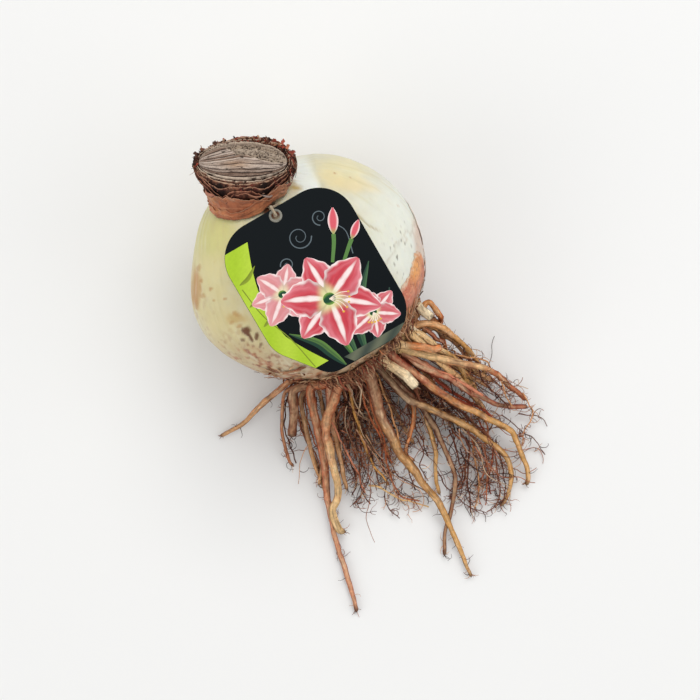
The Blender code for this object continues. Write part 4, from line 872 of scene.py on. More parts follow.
def neck_shreds(fibre_mat, paper_mat):
    """Torn fibres, crumbs and scraps that stand off the neck's rims."""
    rng = np.random.default_rng(5)
    tones = (tone(50, 30, 24), tone(84, 50, 38), tone(146, 66, 50), tone(158, 110, 82), tone(194, 158, 130))

    def outward(angle):
        return math.cos(angle) * NECK_ACROSS + math.sin(angle) * NECK_FRONT

    def edge_out(angle):
        return 2.3 * (0.5 - 0.5 * math.sin(angle)) ** 2

    lines = []
    for _ in range(320):
        back = rng.random() < 0.6
        angle = math.radians(rng.normal(305, 34)) if back else rng.uniform(0.0, 2.0 * math.pi)
        lean = tall_back(angle)
        out = edge_out(angle) + rng.uniform(0.3, 1.8)
        start = neck_place(angle, out * MM, (rng.uniform(0.0, 5.0) - 1.6 * lean) * MM)
        tangent = -math.sin(angle) * NECK_ACROSS + math.cos(angle) * NECK_FRONT
        way = unit(NECK_WAY * rng.uniform(-0.6, 0.6) + outward(angle) * rng.uniform(0.1, 0.5)
                   + tangent * rng.normal(0.0, 0.9))
        bend = rng.normal(0, 0.8, 3)
        length = rng.uniform(0.6, 2.2) * MM
        t = np.linspace(0.0, 1.0, 7)[:, None]
        route = start + way * t * length + bend * t ** 2 * length * 0.5
        radii = np.linspace(rng.uniform(0.10, 0.20), 0.07, 7) * MM
        paint = tones[rng.choice(5, p=(0.34, 0.3, 0.16, 0.14, 0.06))]
        lines.append((route, radii, np.repeat(paint[None, :], 7, axis=0)))
    for _ in range(60):
        angle = math.radians(rng.normal(352, 16))
        start = neck_place(angle, rng.uniform(1.2, 2.8) * MM, rng.uniform(-3.0, 3.0) * MM)
        length = rng.uniform(3.0, 8.0) * MM
        t = np.linspace(0.0, 1.0, 12)[:, None]
        wave = np.sin(t * rng.uniform(3.0, 8.0) + rng.uniform(0.0, 6.0)) * rng.uniform(0.1, 0.5) * MM
        tangent = -math.sin(angle) * NECK_ACROSS + math.cos(angle) * NECK_FRONT
        route = (start - NECK_WAY * t * length + outward(angle) * (0.5 + 1.0 * np.sin(t * 2.6)) * MM
                 + tangent * (wave + t * rng.uniform(-0.5, 1.6) * MM))
        radii = np.linspace(rng.uniform(0.16, 0.28), 0.09, 12) * MM
        paint = tones[rng.choice(5, p=(0.3, 0.3, 0.22, 0.14, 0.04))]
        lines.append((route, radii, np.repeat(paint[None, :], 12, axis=0)))
    strands("neck_fibres", lines, 4, fibre_mat, "neck_sleeve")

    seats = []
    sizes = []
    paints = []
    for _ in range(560):
        pick = rng.random()
        if pick < 0.62:
            angle = math.radians(rng.uniform(188, 352))
        elif pick < 0.85:
            angle = math.radians(rng.normal(318, 20))
        else:
            angle = rng.uniform(0.0, 2.0 * math.pi)
        lean = tall_back(angle)
        back = 0.5 - 0.5 * math.sin(angle)
        depth = rng.uniform(-0.2, 4.0) - (0.5 + 1.7 * lean) * back
        seats.append(neck_place(angle, (edge_out(angle) + rng.uniform(0.3, 1.7)) * MM, depth * MM))
        sizes.append(rng.uniform(0.18, 0.5) * (1.0 + 0.5 * lean) * np.array(rng.uniform(0.6, 1.3, 3)) * MM)
        weights = (0.32, 0.26, 0.22, 0.14, 0.06) if lean > 0.3 else (0.44, 0.30, 0.06, 0.14, 0.06)
        paints.append(tones[rng.choice(5, p=weights)])
    for _ in range(60):
        place = neck_place(math.radians(rng.normal(182, 5)), rng.uniform(0.8, 2.4) * MM, rng.uniform(-0.8, 2.2) * MM)
        seats.append(place)
        sizes.append(rng.uniform(0.3, 0.8) * np.array(rng.uniform(0.7, 1.3, 3)) * MM)
        paints.append(tones[rng.choice(5, p=(0.5, 0.3, 0.1, 0.08, 0.02))])
    crumbs("neck_crumbs", seats, sizes, paints, fibre_mat, "neck_sleeve")

    strips = []

    def scrap(angle, out, depth, length, width, paint, lift, lean):
        along = -math.sin(angle) * NECK_ACROSS + math.cos(angle) * NECK_FRONT
        way = unit(NECK_WAY * lift + outward(angle) * lean + along * rng.normal(0, 0.4))
        t = np.linspace(0.0, 1.0, 9)[:, None]
        start = neck_place(angle, (out + edge_out(angle)) * MM, depth * MM)
        route = start + way * t * length * MM + outward(angle) * (t ** 2) * length * MM * rng.uniform(-0.5, 0.6)
        route = route + grain(route, 0.9 * MM, angle)[:, None] * along * 0.3 * MM
        side = unit(np.repeat((along + rng.normal(0, 0.3, 3))[None, :], 9, axis=0))
        widths = np.array((0.8, 1.0, 0.95, 0.95, 0.9, 0.85, 0.8, 0.75, 0.6)) * width * MM
        widths = widths * rng.uniform(0.75, 1.25, 9)
        shade = 1.0 + 0.3 * grain(route, 0.8 * MM, 3.0)[:, None]
        strips.append((route, side, widths, paint[None, :] * shade, rng.uniform(-0.8, 0.8)))

    for _ in range(150):
        back = rng.random() < 0.5
        angle = math.radians(rng.normal(300, 36)) if back else rng.uniform(0.0, 2.0 * math.pi)
        depth = rng.uniform(-0.6, 3.0) if back else rng.uniform(2.5, 8.0)
        scrap(angle, rng.uniform(0.5, 1.8), depth, rng.uniform(0.6, 1.8), rng.uniform(0.4, 1.3),
              tones[rng.choice(5, p=(0.24, 0.26, 0.16, 0.22, 0.12))], rng.uniform(0.1, 0.8), rng.uniform(0.0, 0.5))
    for angle, depth, length, width, paint in (
            (262, -0.4, 1.6, 2.0, tone(158, 70, 58)), (266, -0.2, 1.4, 1.3, tone(206, 128, 112)),
            (298, -1.6, 1.6, 2.2, tone(150, 96, 72)), (308, -2.0, 1.6, 2.0, tone(146, 62, 48)),
            (320, -2.0, 2.0, 2.2, tone(176, 84, 62)), (332, -1.8, 2.4, 2.0, tone(206, 126, 92)),
            (340, -1.2, 2.6, 2.2, tone(150, 62, 46)), (346, -0.4, 2.6, 1.8, tone(176, 96, 70)),
            (352, 0.2, 2.6, 2.0, tone(120, 60, 46)), (326, -0.4, 2.0, 2.6, tone(140, 70, 54)),
            (200, 0.4, 1.8, 2.0, tone(86, 52, 40)), (214, 0.0, 1.4, 1.8, tone(120, 78, 58)),
            (236, -0.2, 1.3, 2.0, tone(90, 58, 44))):
        scrap(math.radians(angle), 1.0, depth, length, width, paint, 0.4, 0.5)
    ribbons("neck_scraps", strips, paper_mat, "neck_sleeve", 0.1 * MM)

    curl = []
    for angle, depth, length, width, paint in (
            (math.radians(58), 8.2, 5.0, 1.0, tone(150, 132, 124)),
            (math.radians(74), 7.0, 6.0, 0.7, tone(160, 112, 88)),
            (math.radians(104), 8.4, 5.0, 1.2, tone(170, 120, 92)),
            (math.radians(140), 9.2, 5.0, 1.8, tone(176, 118, 96)),
            (math.radians(20), 7.5, 6.0, 1.6, tone(140, 86, 68)),
            (math.radians(34), 9.0, 5.0, 1.4, tone(168, 116, 90))):
        t = np.linspace(-0.5, 0.5, 15)
        place = neck_place(angle + t * length / 16.0, (2.7 + 0.9 * np.cos(t * 5.0)) * MM, (depth - 1.5 * t) * MM)
        side = np.repeat(NECK_WAY[None, :], 15, axis=0)
        widths = width * (1.0 - (2.0 * t) ** 4 * 0.8) * MM
        curl.append((place, side, widths, np.repeat(paint[None, :], 15, axis=0), 0.9))
    ribbons("collar_curls", curl, paper_mat, "tunic_collar", 0.12 * MM)


def skin_sheet(turn, fall, lift, tint, name, mat, replaces, wall, keep=None):
    """A dry sheet on the bulb over a grid of turns and falls, with the faces that keep picks."""
    rows, columns = turn.shape
    points = on_bulb(turn, fall, lift)
    uvs = np.stack((turn / 60.0, fall / 60.0), axis=-1)
    faces = grid_faces(rows, columns)
    if keep is not None:
        faces = faces[keep.ravel()[faces].all(axis=1)]
    piece = add_piece(name, points, faces.tolist(), mat, tint(points, turn, fall), uvs, replaces)
    thicken(piece, wall)
    return piece


def build_flank():
    """What is left of the tunic on the right flank: an orange tongue torn to fibres, and a loose flap."""
    mat = surface("flank_tunic", 0.6, bumps=((0.0015, 0.5), (0.0005, 0.3)), streaks=(34.0, 5.0, 0.16, 0.8),
                  mottle=(0.12, 0.003), coat=0.08, depth=0.0004, sheen=0.1)
    rows = 80
    columns = 130
    turn = np.linspace(22.0, 134.0, columns)[None, :] + np.zeros((rows, 1))
    fall = np.linspace(92.0, 44.0, rows)[:, None] + np.zeros((1, columns))
    place, lines, dents = skin_relief(turn, fall)
    rough = fractal(place, 5.0 * MM, 51.0)
    fine = grain(place, 1.1 * MM, 53.0)
    dots = grain(place, 0.7 * MM, 57.0)
    comb = grain(np.stack((turn / 2.2, fall / 30.0, fall * 0.0), axis=-1), 1.0, 55.0)
    top = 60.0 + 16.0 * ramp(turn, 27.0, 36.0) * (1.0 - ramp(turn, 60.0, 74.0))
    top = top + 5.0 * np.exp(-((turn - 56.0) / 8.0) ** 2) + 8.0 * ramp(turn, 80.0, 110.0) + 1.6 * rough + fine
    bottom = 54.0 + 5.0 * comb + 2.0 * fine + 5.0 * ramp(turn, 52.0, 60.0)
    keep = (fall < top) & (fall > bottom) & (turn > 25.0 + 3.0 * rough)
    edge = np.minimum(top - fall, (turn - 25.0 - 3.0 * rough) * 0.8)
    lift = 0.16 * lines + 0.22 * dents + 0.16 + (0.3 + 0.3 * rough + 0.2 * comb) * ramp(edge, 0.0, 6.0)
    lift = lift * MM

    def tint(points, turn, fall):
        colour = np.zeros(points.shape) + tone(196, 112, 80)
        colour = blend(colour, tone(234, 166, 90), np.exp(-((turn - 52.0) / 9.0) ** 2 - ((fall - 75.0) / 7.0) ** 2) * 0.9)
        colour = blend(colour, tone(196, 106, 84), (1.0 - ramp(turn, 36.0, 48.0)) * 0.6)
        colour = blend(colour, tone(226, 160, 122), ramp(rough + 0.3 * fine, 0.1, 0.6) * 0.5)
        colour = blend(colour, tone(150, 74, 50), ramp(-rough + 0.5 * fine, 0.2, 0.8) * 0.65)
        colour = blend(colour, tone(118, 62, 42), ramp(dots + 0.5 * fine, 0.5, 0.9) * 0.5)
        colour = blend(colour, tone(232, 190, 154), ramp(-dots + 0.4 * fine, 0.5, 1.0) * 0.45)
        colour = blend(colour, tone(196, 142, 106), (1.0 - ramp(fall, 56.0, 64.0)) * 0.6)
        colour = blend(colour, tone(226, 204, 176), (1.0 - ramp(edge + 1.2 * fine, 0.2, 3.0)) * ramp(fall, 60.0, 66.0) * 0.8)
        colour = blend(colour, tone(186, 146, 120), ramp(turn, 74.0, 96.0) * 0.6)
        return blend(colour, tone(112, 62, 42), ramp(np.abs(comb), 0.5, 0.9) * (0.5 - 0.4 * ramp(fall, 58.0, 66.0)))

    skin_sheet(turn, fall, lift, tint, "flank_tongue", mat, "flank_skin", 0.18 * MM, keep)

    rows = 50
    columns = 44
    turn = np.linspace(66.0, 96.0, columns)[None, :] + np.zeros((rows, 1))
    fall = np.linspace(92.0, 66.0, rows)[:, None] + np.zeros((1, columns))
    place = on_bulb(turn, fall, 0.0)
    rough = fractal(place, 5.0 * MM, 61.0)
    keep = (turn > 74.0 + 6.0 * rough + 0.7 * np.abs(fall - 79.0)) & (turn < 94.0 + 3.0 * rough)
    lift = (0.25 + 0.2 * (1.0 - ramp(turn, 72.0, 82.0)) + 0.15 * rough) * MM

    def flap_tint(points, turn, fall):
        colour = np.zeros(points.shape) + tone(230, 214, 200)
        colour = blend(colour, tone(210, 172, 148), ramp(rough, -0.1, 0.5) * 0.8)
        return blend(colour, tone(214, 170, 148), (1.0 - ramp(turn, 72.0, 78.0)) * 0.5)

    skin_sheet(turn, fall, lift, flap_tint, "flank_flap", mat, "flank_skin", 0.15 * MM, keep)

    rng = np.random.default_rng(7)
    strips = []
    tones = (tone(196, 146, 104), tone(168, 116, 80), tone(212, 172, 132), tone(122, 74, 52), tone(206, 128, 80))
    for _ in range(110):
        front = rng.random() < 0.66
        turn0 = rng.uniform(20.0, 52.0) if front else rng.uniform(58.0, 132.0)
        top_fall = rng.uniform(53.0, 61.0) if front else rng.uniform(56.0, 68.0)
        low_fall = rng.uniform(44.0, 51.0) if front else top_fall - rng.uniform(9.0, 20.0)
        t = np.linspace(0.0, 1.0, 12)
        fall = top_fall + (low_fall - top_fall) * t
        turn = turn0 + ((26.0 - turn0) * 0.55 if front else (95.0 - turn0) * 0.25) * t
        turn = turn + 1.6 * np.sin(t * rng.uniform(2.0, 6.0) + rng.uniform(0.0, 6.0))
        lift = (0.7 + rng.uniform(0.0, 1.0) * np.sin(np.pi * t) + rng.uniform(0.0, 1.4) * t ** 3) * MM
        route = on_bulb(turn, fall, lift)
        side = unit(np.cross(np.gradient(route, axis=0), route - BULB_MIDDLE))
        widths = (0.2 + rng.uniform(0.1, 0.9) * (1.0 - t) ** 0.7) * MM
        paint = tones[rng.choice(5, p=(0.30, 0.26, 0.14, 0.16, 0.14))]
        strips.append((route, side, widths, paint[None, :] * (1.0 - 0.4 * t[:, None]), rng.uniform(-0.6, 0.9)))
    ribbons("flank_shreds", strips, mat, "flank_skin", 0.1 * MM)

    lines = []
    for index in range(90):
        dark = index < 40
        turn0 = rng.normal(17.0, 5.0) if dark else rng.normal(30.0, 5.0)
        fall0 = rng.uniform(40.0, 48.0) if dark else rng.uniform(48.0, 58.0)
        reach = rng.uniform(3.0, 9.0)
        heading = rng.normal(0.0, 0.5)
        t = np.linspace(0.0, 1.0, 12)
        fall = fall0 - reach * t * math.cos(heading)
        turn = turn0 - reach * t * math.sin(heading) + 1.2 * np.sin(t * rng.uniform(2.0, 7.0) + rng.uniform(0.0, 6.0))
        lift = (0.9 + rng.uniform(0.2, 2.4) * np.sin(np.pi * t) + rng.uniform(0.0, 1.2) * t ** 2) * MM
        route = on_bulb(turn, fall, lift)
        paint = tones[rng.choice(5, p=(0.08, 0.30, 0.02, 0.54, 0.06) if dark else (0.30, 0.26, 0.20, 0.12, 0.12))]
        lines.append((route, np.linspace(rng.uniform(0.14, 0.30), 0.09, 12) * MM,
                      np.repeat(paint[None, :] * rng.uniform(0.85, 1.15), 12, axis=0)))
    strands("flank_fibres", lines, 4, mat, "flank_skin")


def build_base_flakes():
    """Dry brown flakes and dirt round the bulb's base, outside the basal plate."""
    mat = surface("base_flakes", 0.85, bumps=((0.0014, 0.6), (0.0005, 0.4)), streaks=(30.0, 7.0, 0.25, 0.7),
                  mottle=(0.25, 0.002), depth=0.0004)
    rows = 36
    columns = 460
    turn = np.linspace(0.0, 360.0, columns)[None, :] + np.zeros((rows, 1))
    fall = np.linspace(60.0, 29.5, rows)[:, None] + np.zeros((1, columns))
    angle = np.radians(turn)
    ring = np.stack((np.cos(angle) * 3.0, np.sin(angle) * 3.0, fall / 30.0), axis=-1)
    wide = grain(ring, 1.0, 71.0)
    rough = grain(ring, 0.33, 73.0)
    fine = grain(ring, 0.09, 75.0)
    left = np.angle(np.exp(1j * (angle - math.radians(300))))
    edge = 41.0 + 6.0 * wide + 5.0 * rough + 2.0 * fine + 6.0 * np.exp(-(left / 0.8) ** 2)
    keep = fall < edge
    lift = (0.45 + 0.5 * ramp(fall, edge - 4.0, edge) + 0.25 * rough + 0.12 * fine) * MM

    def tint(points, turn, fall):
        colour = np.zeros(points.shape) + tone(166, 112, 82)
        colour = blend(colour, tone(206, 166, 128), ramp(rough, 0.0, 0.6) * 0.75)
        colour = blend(colour, tone(112, 66, 48), ramp(-rough, 0.1, 0.7) * 0.7)
        colour = blend(colour, tone(168, 82, 62), ramp(wide, 0.3, 0.8) * 0.5)
        colour = blend(colour, tone(56, 34, 26), ramp(fine, 0.3, 0.8) * 0.6)
        return blend(colour, tone(196, 160, 120), ramp(fall, edge - 1.5, edge) * 0.5)

    skin_sheet(turn, fall, lift, tint, "base_ring", mat, "base_skin", 0.2 * MM, keep)

    rng = np.random.default_rng(9)
    strips = []
    tones = (tone(132, 84, 60), tone(176, 126, 92), tone(92, 54, 40), tone(206, 168, 130), tone(156, 82, 60))
    for _ in range(340):
        turn0 = rng.uniform(0.0, 360.0)
        fall0 = rng.uniform(33.0, 50.0)
        if rng.random() < 0.22:
            turn0 = rng.normal(-48.0, 20.0)
            fall0 = rng.uniform(36.0, 70.0)
        heading = rng.uniform(-1.2, 1.2)
        t = np.linspace(0.0, 1.0, 7)
        reach = rng.uniform(2.0, 7.0)
        fall = fall0 + reach * t * math.cos(heading)
        turn = turn0 + reach * t * math.sin(heading) * 1.4
        lift = (0.55 + rng.uniform(-0.2, 1.8) * t ** 2) * MM
        route = on_bulb(turn, fall, lift)
        side = unit(np.cross(np.gradient(route, axis=0), route - BULB_MIDDLE))
        widths = (0.2 + rng.uniform(0.2, 1.7) * np.sin(np.pi * (0.15 + 0.8 * t))) * MM
        paint = tones[rng.choice(5, p=(0.26, 0.30, 0.08, 0.26, 0.10))]
        strips.append((route, side, widths, np.repeat(paint[None, :], 7, axis=0), rng.uniform(-0.7, 0.7)))
    ribbons("base_scraps", strips, mat, "base_skin", 0.1 * MM)

    lines = []
    for index in range(230):
        turn0 = rng.uniform(-44.0, 12.0) if index < 130 else rng.uniform(0.0, 360.0)
        start = on_bulb(turn0, rng.uniform(32.0, 44.0), 0.6 * MM)
        length = rng.uniform(3.0, 11.0) * MM
        angle0 = math.radians(turn0)
        ring = math.cos(angle0) * UP_WAY + math.sin(angle0) * SIDE_WAY
        round_way = math.cos(angle0) * SIDE_WAY - math.sin(angle0) * UP_WAY
        t = np.linspace(0.0, 1.0, 12)[:, None]
        wave = np.sin(t * rng.uniform(3.0, 9.0) + rng.uniform(0.0, 6.0)) * rng.uniform(0.2, 1.0) * MM
        route = (start + ROOT_WAY * length * t + ring * (0.6 - rng.uniform(1.0, 7.0) * t ** 2) * MM
                 + round_way * (wave + rng.normal(0.0, 2.0) * MM * t ** 1.5))
        route = lift_off(route, 0.5 * MM)
        radii = np.linspace(rng.uniform(0.18, 0.4), 0.10, 12) * MM
        paint = tones[rng.choice(5, p=(0.28, 0.2, 0.22, 0.12, 0.18))] * rng.uniform(0.8, 1.2)
        lines.append((route, radii, np.repeat(paint[None, :], 12, axis=0)))
    strands("base_fibres", lines, 4, mat, "base_skin")


def plate_seat(point, ring):
    """Point inside the basal plate that lies towards a point outside it."""
    middle = BULB_MIDDLE + ROOT_WAY * (BASE_FLAT + 3.0 * MM)
    way = np.asarray(point) - middle
    way = way - ROOT_WAY * way.dot(ROOT_WAY)
    reach = min(ring, np.linalg.norm(way))
    return middle + way / np.linalg.norm(way) * reach


def keep_clear(points, radii):
    """Points bent out of the bulb and its dry skin, and up off the surface below."""
    fall = np.degrees(np.arccos(np.clip(unit(points - BULB_MIDDLE) @ ROOT_WAY, -1.0, 1.0)))
    moved = np.where((fall > 28.0)[:, None], lift_off(points, radii + 2.0 * MM), points)
    moved[:, 2] = np.maximum(moved[:, 2], radii + 0.3 * MM)
    return moved


def thick_roots():
    """Routes of the thick roots with radii and colours near and far."""
    rng = np.random.default_rng(11)
    lines = []
    routes = [(radius, tip, np.array(route) * MM, near, far) for radius, tip, route, near, far in ROOT_ROUTES.values()]
    for radius, tip, near, far, places in FAN_ROOTS:
        places = np.array(places, dtype=float)
        routes.append((radius, tip, spot(places[:, 0], places[:, 1], places[:, 2] * MM), near, far))
    for radius, tip, route, near, far in routes:
        seat = plate_seat(route[0], 16.0 * MM)
        step_out = seat + (route[0] - seat) * 0.45 + ROOT_WAY * 4.0 * MM
        points = [seat, step_out] + list(route)
        lines.append((points, radius * MM, tip * MM, ROOT_TONES[near], ROOT_TONES[far]))
    names = list(ROOT_TONES)
    for index in range(HIDDEN_ROOTS):
        turn = math.radians(80.0 + 200.0 * (index + 0.5) / HIDDEN_ROOTS)
        ring = UP_WAY * math.cos(turn) + SIDE_WAY * math.sin(turn)
        start = BULB_MIDDLE + ROOT_WAY * (BASE_FLAT + 3.0 * MM) + ring * 15.0 * MM
        heading = math.radians(28.0 * math.sin(turn) + rng.uniform(-5.0, 5.0))
        way = np.array((math.cos(heading), math.sin(heading), 0.0))
        side = np.array((-way[1], way[0], 0.0))
        length = rng.uniform(34.0, 58.0) * MM
        bend = rng.uniform(-0.16, 0.16)
        route = [start, start + ring * 5.0 * MM + ROOT_WAY * 7.0 * MM]
        for part in (0.35, 0.65, 1.0):
            point = route[1] + way * length * part + side * length * bend * part * part
            point[2] = route[1][2] * (1.0 - part) ** 2 + rng.uniform(2.0, 5.0) * MM
            route.append(point)
        near = ROOT_TONES[names[rng.integers(0, 5)]]
        lines.append((route, rng.uniform(1.3, 2.0) * MM, 0.8 * MM, near, ROOT_TONES["tan"]))
    return lines


def build_roots():
    """Thick roots: wrinkled, knobbly tubes that taper from the plate, some cut short, with painted highlight on top
    and painted shade beneath.
    """
    mat = surface("root_bark", 0.62, bumps=((0.0010, 0.6), (0.0004, 0.4)), streaks=(2.5, 16.0, 0.34, 0.9),
                  mottle=(0.24, 0.0016), coat=0.03, depth=0.0005)
    points = []
    faces = []
    tints = []
    uvs = []
    first = 0
    routes = []
    in_sight = len(ROOT_ROUTES) + len(FAN_ROOTS)
    for index, (route, radius, tip, near, far) in enumerate(thick_roots()):
        sides = 16 if index < in_sight else 10
        line = spline(route, 0.9 * MM)
        count = len(line)
        t = np.linspace(0.0, 1.0, count)
        sway = np.stack([grain(line, 13.0 * MM, index * 3.0 + axis) for axis in range(3)], axis=1)
        line = line + sway * (0.9 * MM * np.sin(np.pi * np.clip(t * 1.2, 0.0, 1.0)) ** 0.5)[:, None]
        kinks = np.stack([grain(line, 4.0 * MM, 60.0 + index * 3.0 + axis) for axis in range(3)], axis=1)
        line = line + kinks * (0.30 * MM * np.clip(t * 3.0, 0.0, 1.0))[:, None]
        radii = radius + (tip - radius) * t ** 1.2
        knots = grain(line, 5.0 * MM, 81.0 + index) + 0.5 * grain(line, 2.2 * MM, 101.0 + index)
        radii = radii * (1.0 + 0.12 * knots)
        line = np.vstack((line[:1], keep_clear(line[1:], radii[1:])))
        blunt = tip > 0.85 * radius
        taper = (0.7 if blunt else 1.6) * tip / (0.9 * MM * count)
        end = 1.0 - np.clip((t - (1.0 - taper)) / taper, 0.0, 1.0)
        rounding = np.sqrt(np.clip(1.0 - (1.0 - end) ** 2, 0.02, 1.0))
        radii = radii * rounding

        def shape(along, angle, index=index, line=line):
            ridges = 0.07 * np.sin(angle * 4.0 + 5.0 * np.sin(along * 3.0 + index))
            ridges = ridges + 0.05 * np.sin(angle * 7.0 + 9.0 * along + index)
            wrinkles = 0.07 * grain(np.stack((along * 60.0 + angle * 0.0, np.cos(angle) + along * 0.0,
                                              np.sin(angle) + along * 0.0), axis=-1), 1.0, index)
            return 1.0 + ridges + wrinkles

        rings = tube_rings(line, radii, sides, shape)
        offset = unit(rings - line[:, None, :])
        up = offset[..., 2]
        noise = fractal(rings, 4.0 * MM, 83.0)
        fine = grain(rings, 0.9 * MM, 85.0)
        length = np.arange(count) * 0.9 * MM
        lengthwise = np.stack((length[:, None] / (6.0 * MM) + 0.0 * up, offset[..., 2] * 2.6 + index, offset[..., 0] * 2.6
                               + offset[..., 1] * 2.6), axis=-1)
        streak = grain(lengthwise, 1.0, 87.0)
        scar = ramp(grain(np.stack((length / (1.6 * MM), t * 0.0, t * 0.0), axis=-1), 1.0, index * 1.3), 0.6, 0.85)
        share = ramp(t[:, None] + 0.3 * noise, 0.15, 0.85)
        colour = blend(np.zeros(rings.shape) + near, far, share)
        colour = blend(colour, colour * 0.5, ramp(noise + 0.3 * streak, 0.25, 0.85) * 0.5)
        colour = blend(colour, tone(232, 200, 160), ramp(-noise + 0.3 * streak, 0.35, 0.8) * 0.4)
        colour = blend(colour, tone(66, 34, 26), ramp(streak, 0.3, 0.7) * 0.65)
        # Pale streaks only on the upper side: painted highlight.
        colour = blend(colour, tone(246, 218, 178), ramp(-streak, 0.3, 0.75) * ramp(up, 0.0, 0.7) * 0.5)
        colour = blend(colour, tone(92, 52, 38), ramp(fine, 0.5, 0.9) * 0.4)
        colour = blend(colour, tone(72, 40, 32), scar[:, None] * ramp(fine + noise, -0.5, 0.5) * 0.5)
        # Painted highlight on the tops of the roots, and painted shade on their sides and undersides.
        colour = blend(colour, tone(238, 204, 158), ramp(up + 0.25 * fine, 0.6, 1.0) * 0.3)
        colour = blend(colour, colour * np.array((0.32, 0.22, 0.18)), (1.0 - ramp(up, -0.1, 0.6)) * 0.8)
        broken = ramp(t[:, None] + (0.05 * fine if blunt else 0.0), 0.93 if blunt else 0.96, 1.0)
        colour = blend(colour, tone(58, 34, 28), (0.9 if blunt else 0.8) * broken + np.zeros(rings.shape[:2]))
        points.append(rings.reshape(-1, 3))
        tints.append(colour.reshape(-1, 3))
        uvs.append(np.stack((np.repeat(length * 100.0, sides), np.tile(np.arange(sides) / sides, count)), axis=1))
        faces.extend(grid_faces(count, sides, True, first).tolist())
        faces.append([first + k for k in reversed(range(sides))])
        faces.append([first + (count - 1) * sides + k for k in range(sides)])
        first += count * sides
        routes.append((line, radii, near, far))
    add_piece("thick_roots", np.vstack(points), faces, mat, np.vstack(tints), np.vstack(uvs),
              "roots")

    profile = ((0.02, 1.0), (0.35, 0.97), (0.75, 0.85), (0.9, 0.7), (0.97, 0.5), (1.0, 0.22), (0.93, 0.03))
    angle = np.linspace(0.0, 2.0 * math.pi, 120, endpoint=False)
    reach = np.array([x for x, _ in profile])[:, None] * PLATE_HALF_WIDTH + np.zeros((1, 120))
    rise = np.array([z for _, z in profile])[:, None] * PLATE_DEPTH + 0.35 * MM + np.zeros((1, 120))
    base = BULB_MIDDLE + ROOT_WAY * BASE_FLAT
    plate = (base + (np.cos(angle) * reach)[..., None] * UP_WAY + (np.sin(angle) * reach)[..., None] * SIDE_WAY
             + rise[..., None] * ROOT_WAY)
    bumps = fractal(plate, 3.0 * MM, 91.0)
    plate = plate + (bumps * 0.6 * MM)[..., None] * ROOT_WAY
    colour = blend(np.zeros(plate.shape) + tone(112, 74, 52), tone(60, 36, 28), ramp(bumps, -0.1, 0.5))
    faces = grid_faces(len(profile), 120, True).tolist()
    faces.append(list(range(120))[::-1])
    uvs = np.stack((np.cos(angle) * reach, np.sin(angle) * reach), axis=-1) * 100.0
    add_piece("basal_plate", plate, faces, mat, colour, uvs, "roots")
    return routes


def wander(rng, starts, ends, heights, curl, step, spare):
    """Fine roots that make their way from starts to ends in the picture's plane, curling as they go."""
    count = len(starts)
    place = starts[:, :2].copy()
    goal = ends[:, :2]
    reach = np.linalg.norm(goal - place, axis=1)
    steps = max(6, int(reach.max() * spare / step))
    heading = np.arctan2(goal[:, 1] - place[:, 1], goal[:, 0] - place[:, 0]) + rng.normal(0, 0.25, count)
    spin = rng.normal(0, 1.0, count)
    taken = reach * spare / steps
    track = [place.copy()]
    for index in range(steps):
        part = index / steps
        aim = np.arctan2(goal[:, 1] - place[:, 1], goal[:, 0] - place[:, 0])
        pull = np.angle(np.exp(1j * (aim - heading)))
        spin = 0.86 * spin + rng.normal(0, 0.55, count)
        heading = heading + pull * 0.10 * (1.0 - part) + spin * curl * (0.25 + 1.0 * part ** 1.5)
        place = place + np.stack((np.cos(heading), np.sin(heading)), axis=1) * taken[:, None]
        track.append(place.copy())
    track = np.stack(track, axis=1)
    t = np.linspace(0.0, 1.0, steps + 1)[None, :]
    high = starts[:, 2:3] * (1.0 - t) ** 1.6 + ends[:, 2:3] * t
    wave = heights[:, None] * np.sin(t * np.pi * rng.uniform(1.0, 3.5, (count, 1)) + rng.uniform(0, 6, (count, 1)))
    return np.concatenate((track, (high + wave * t)[..., None]), axis=2)


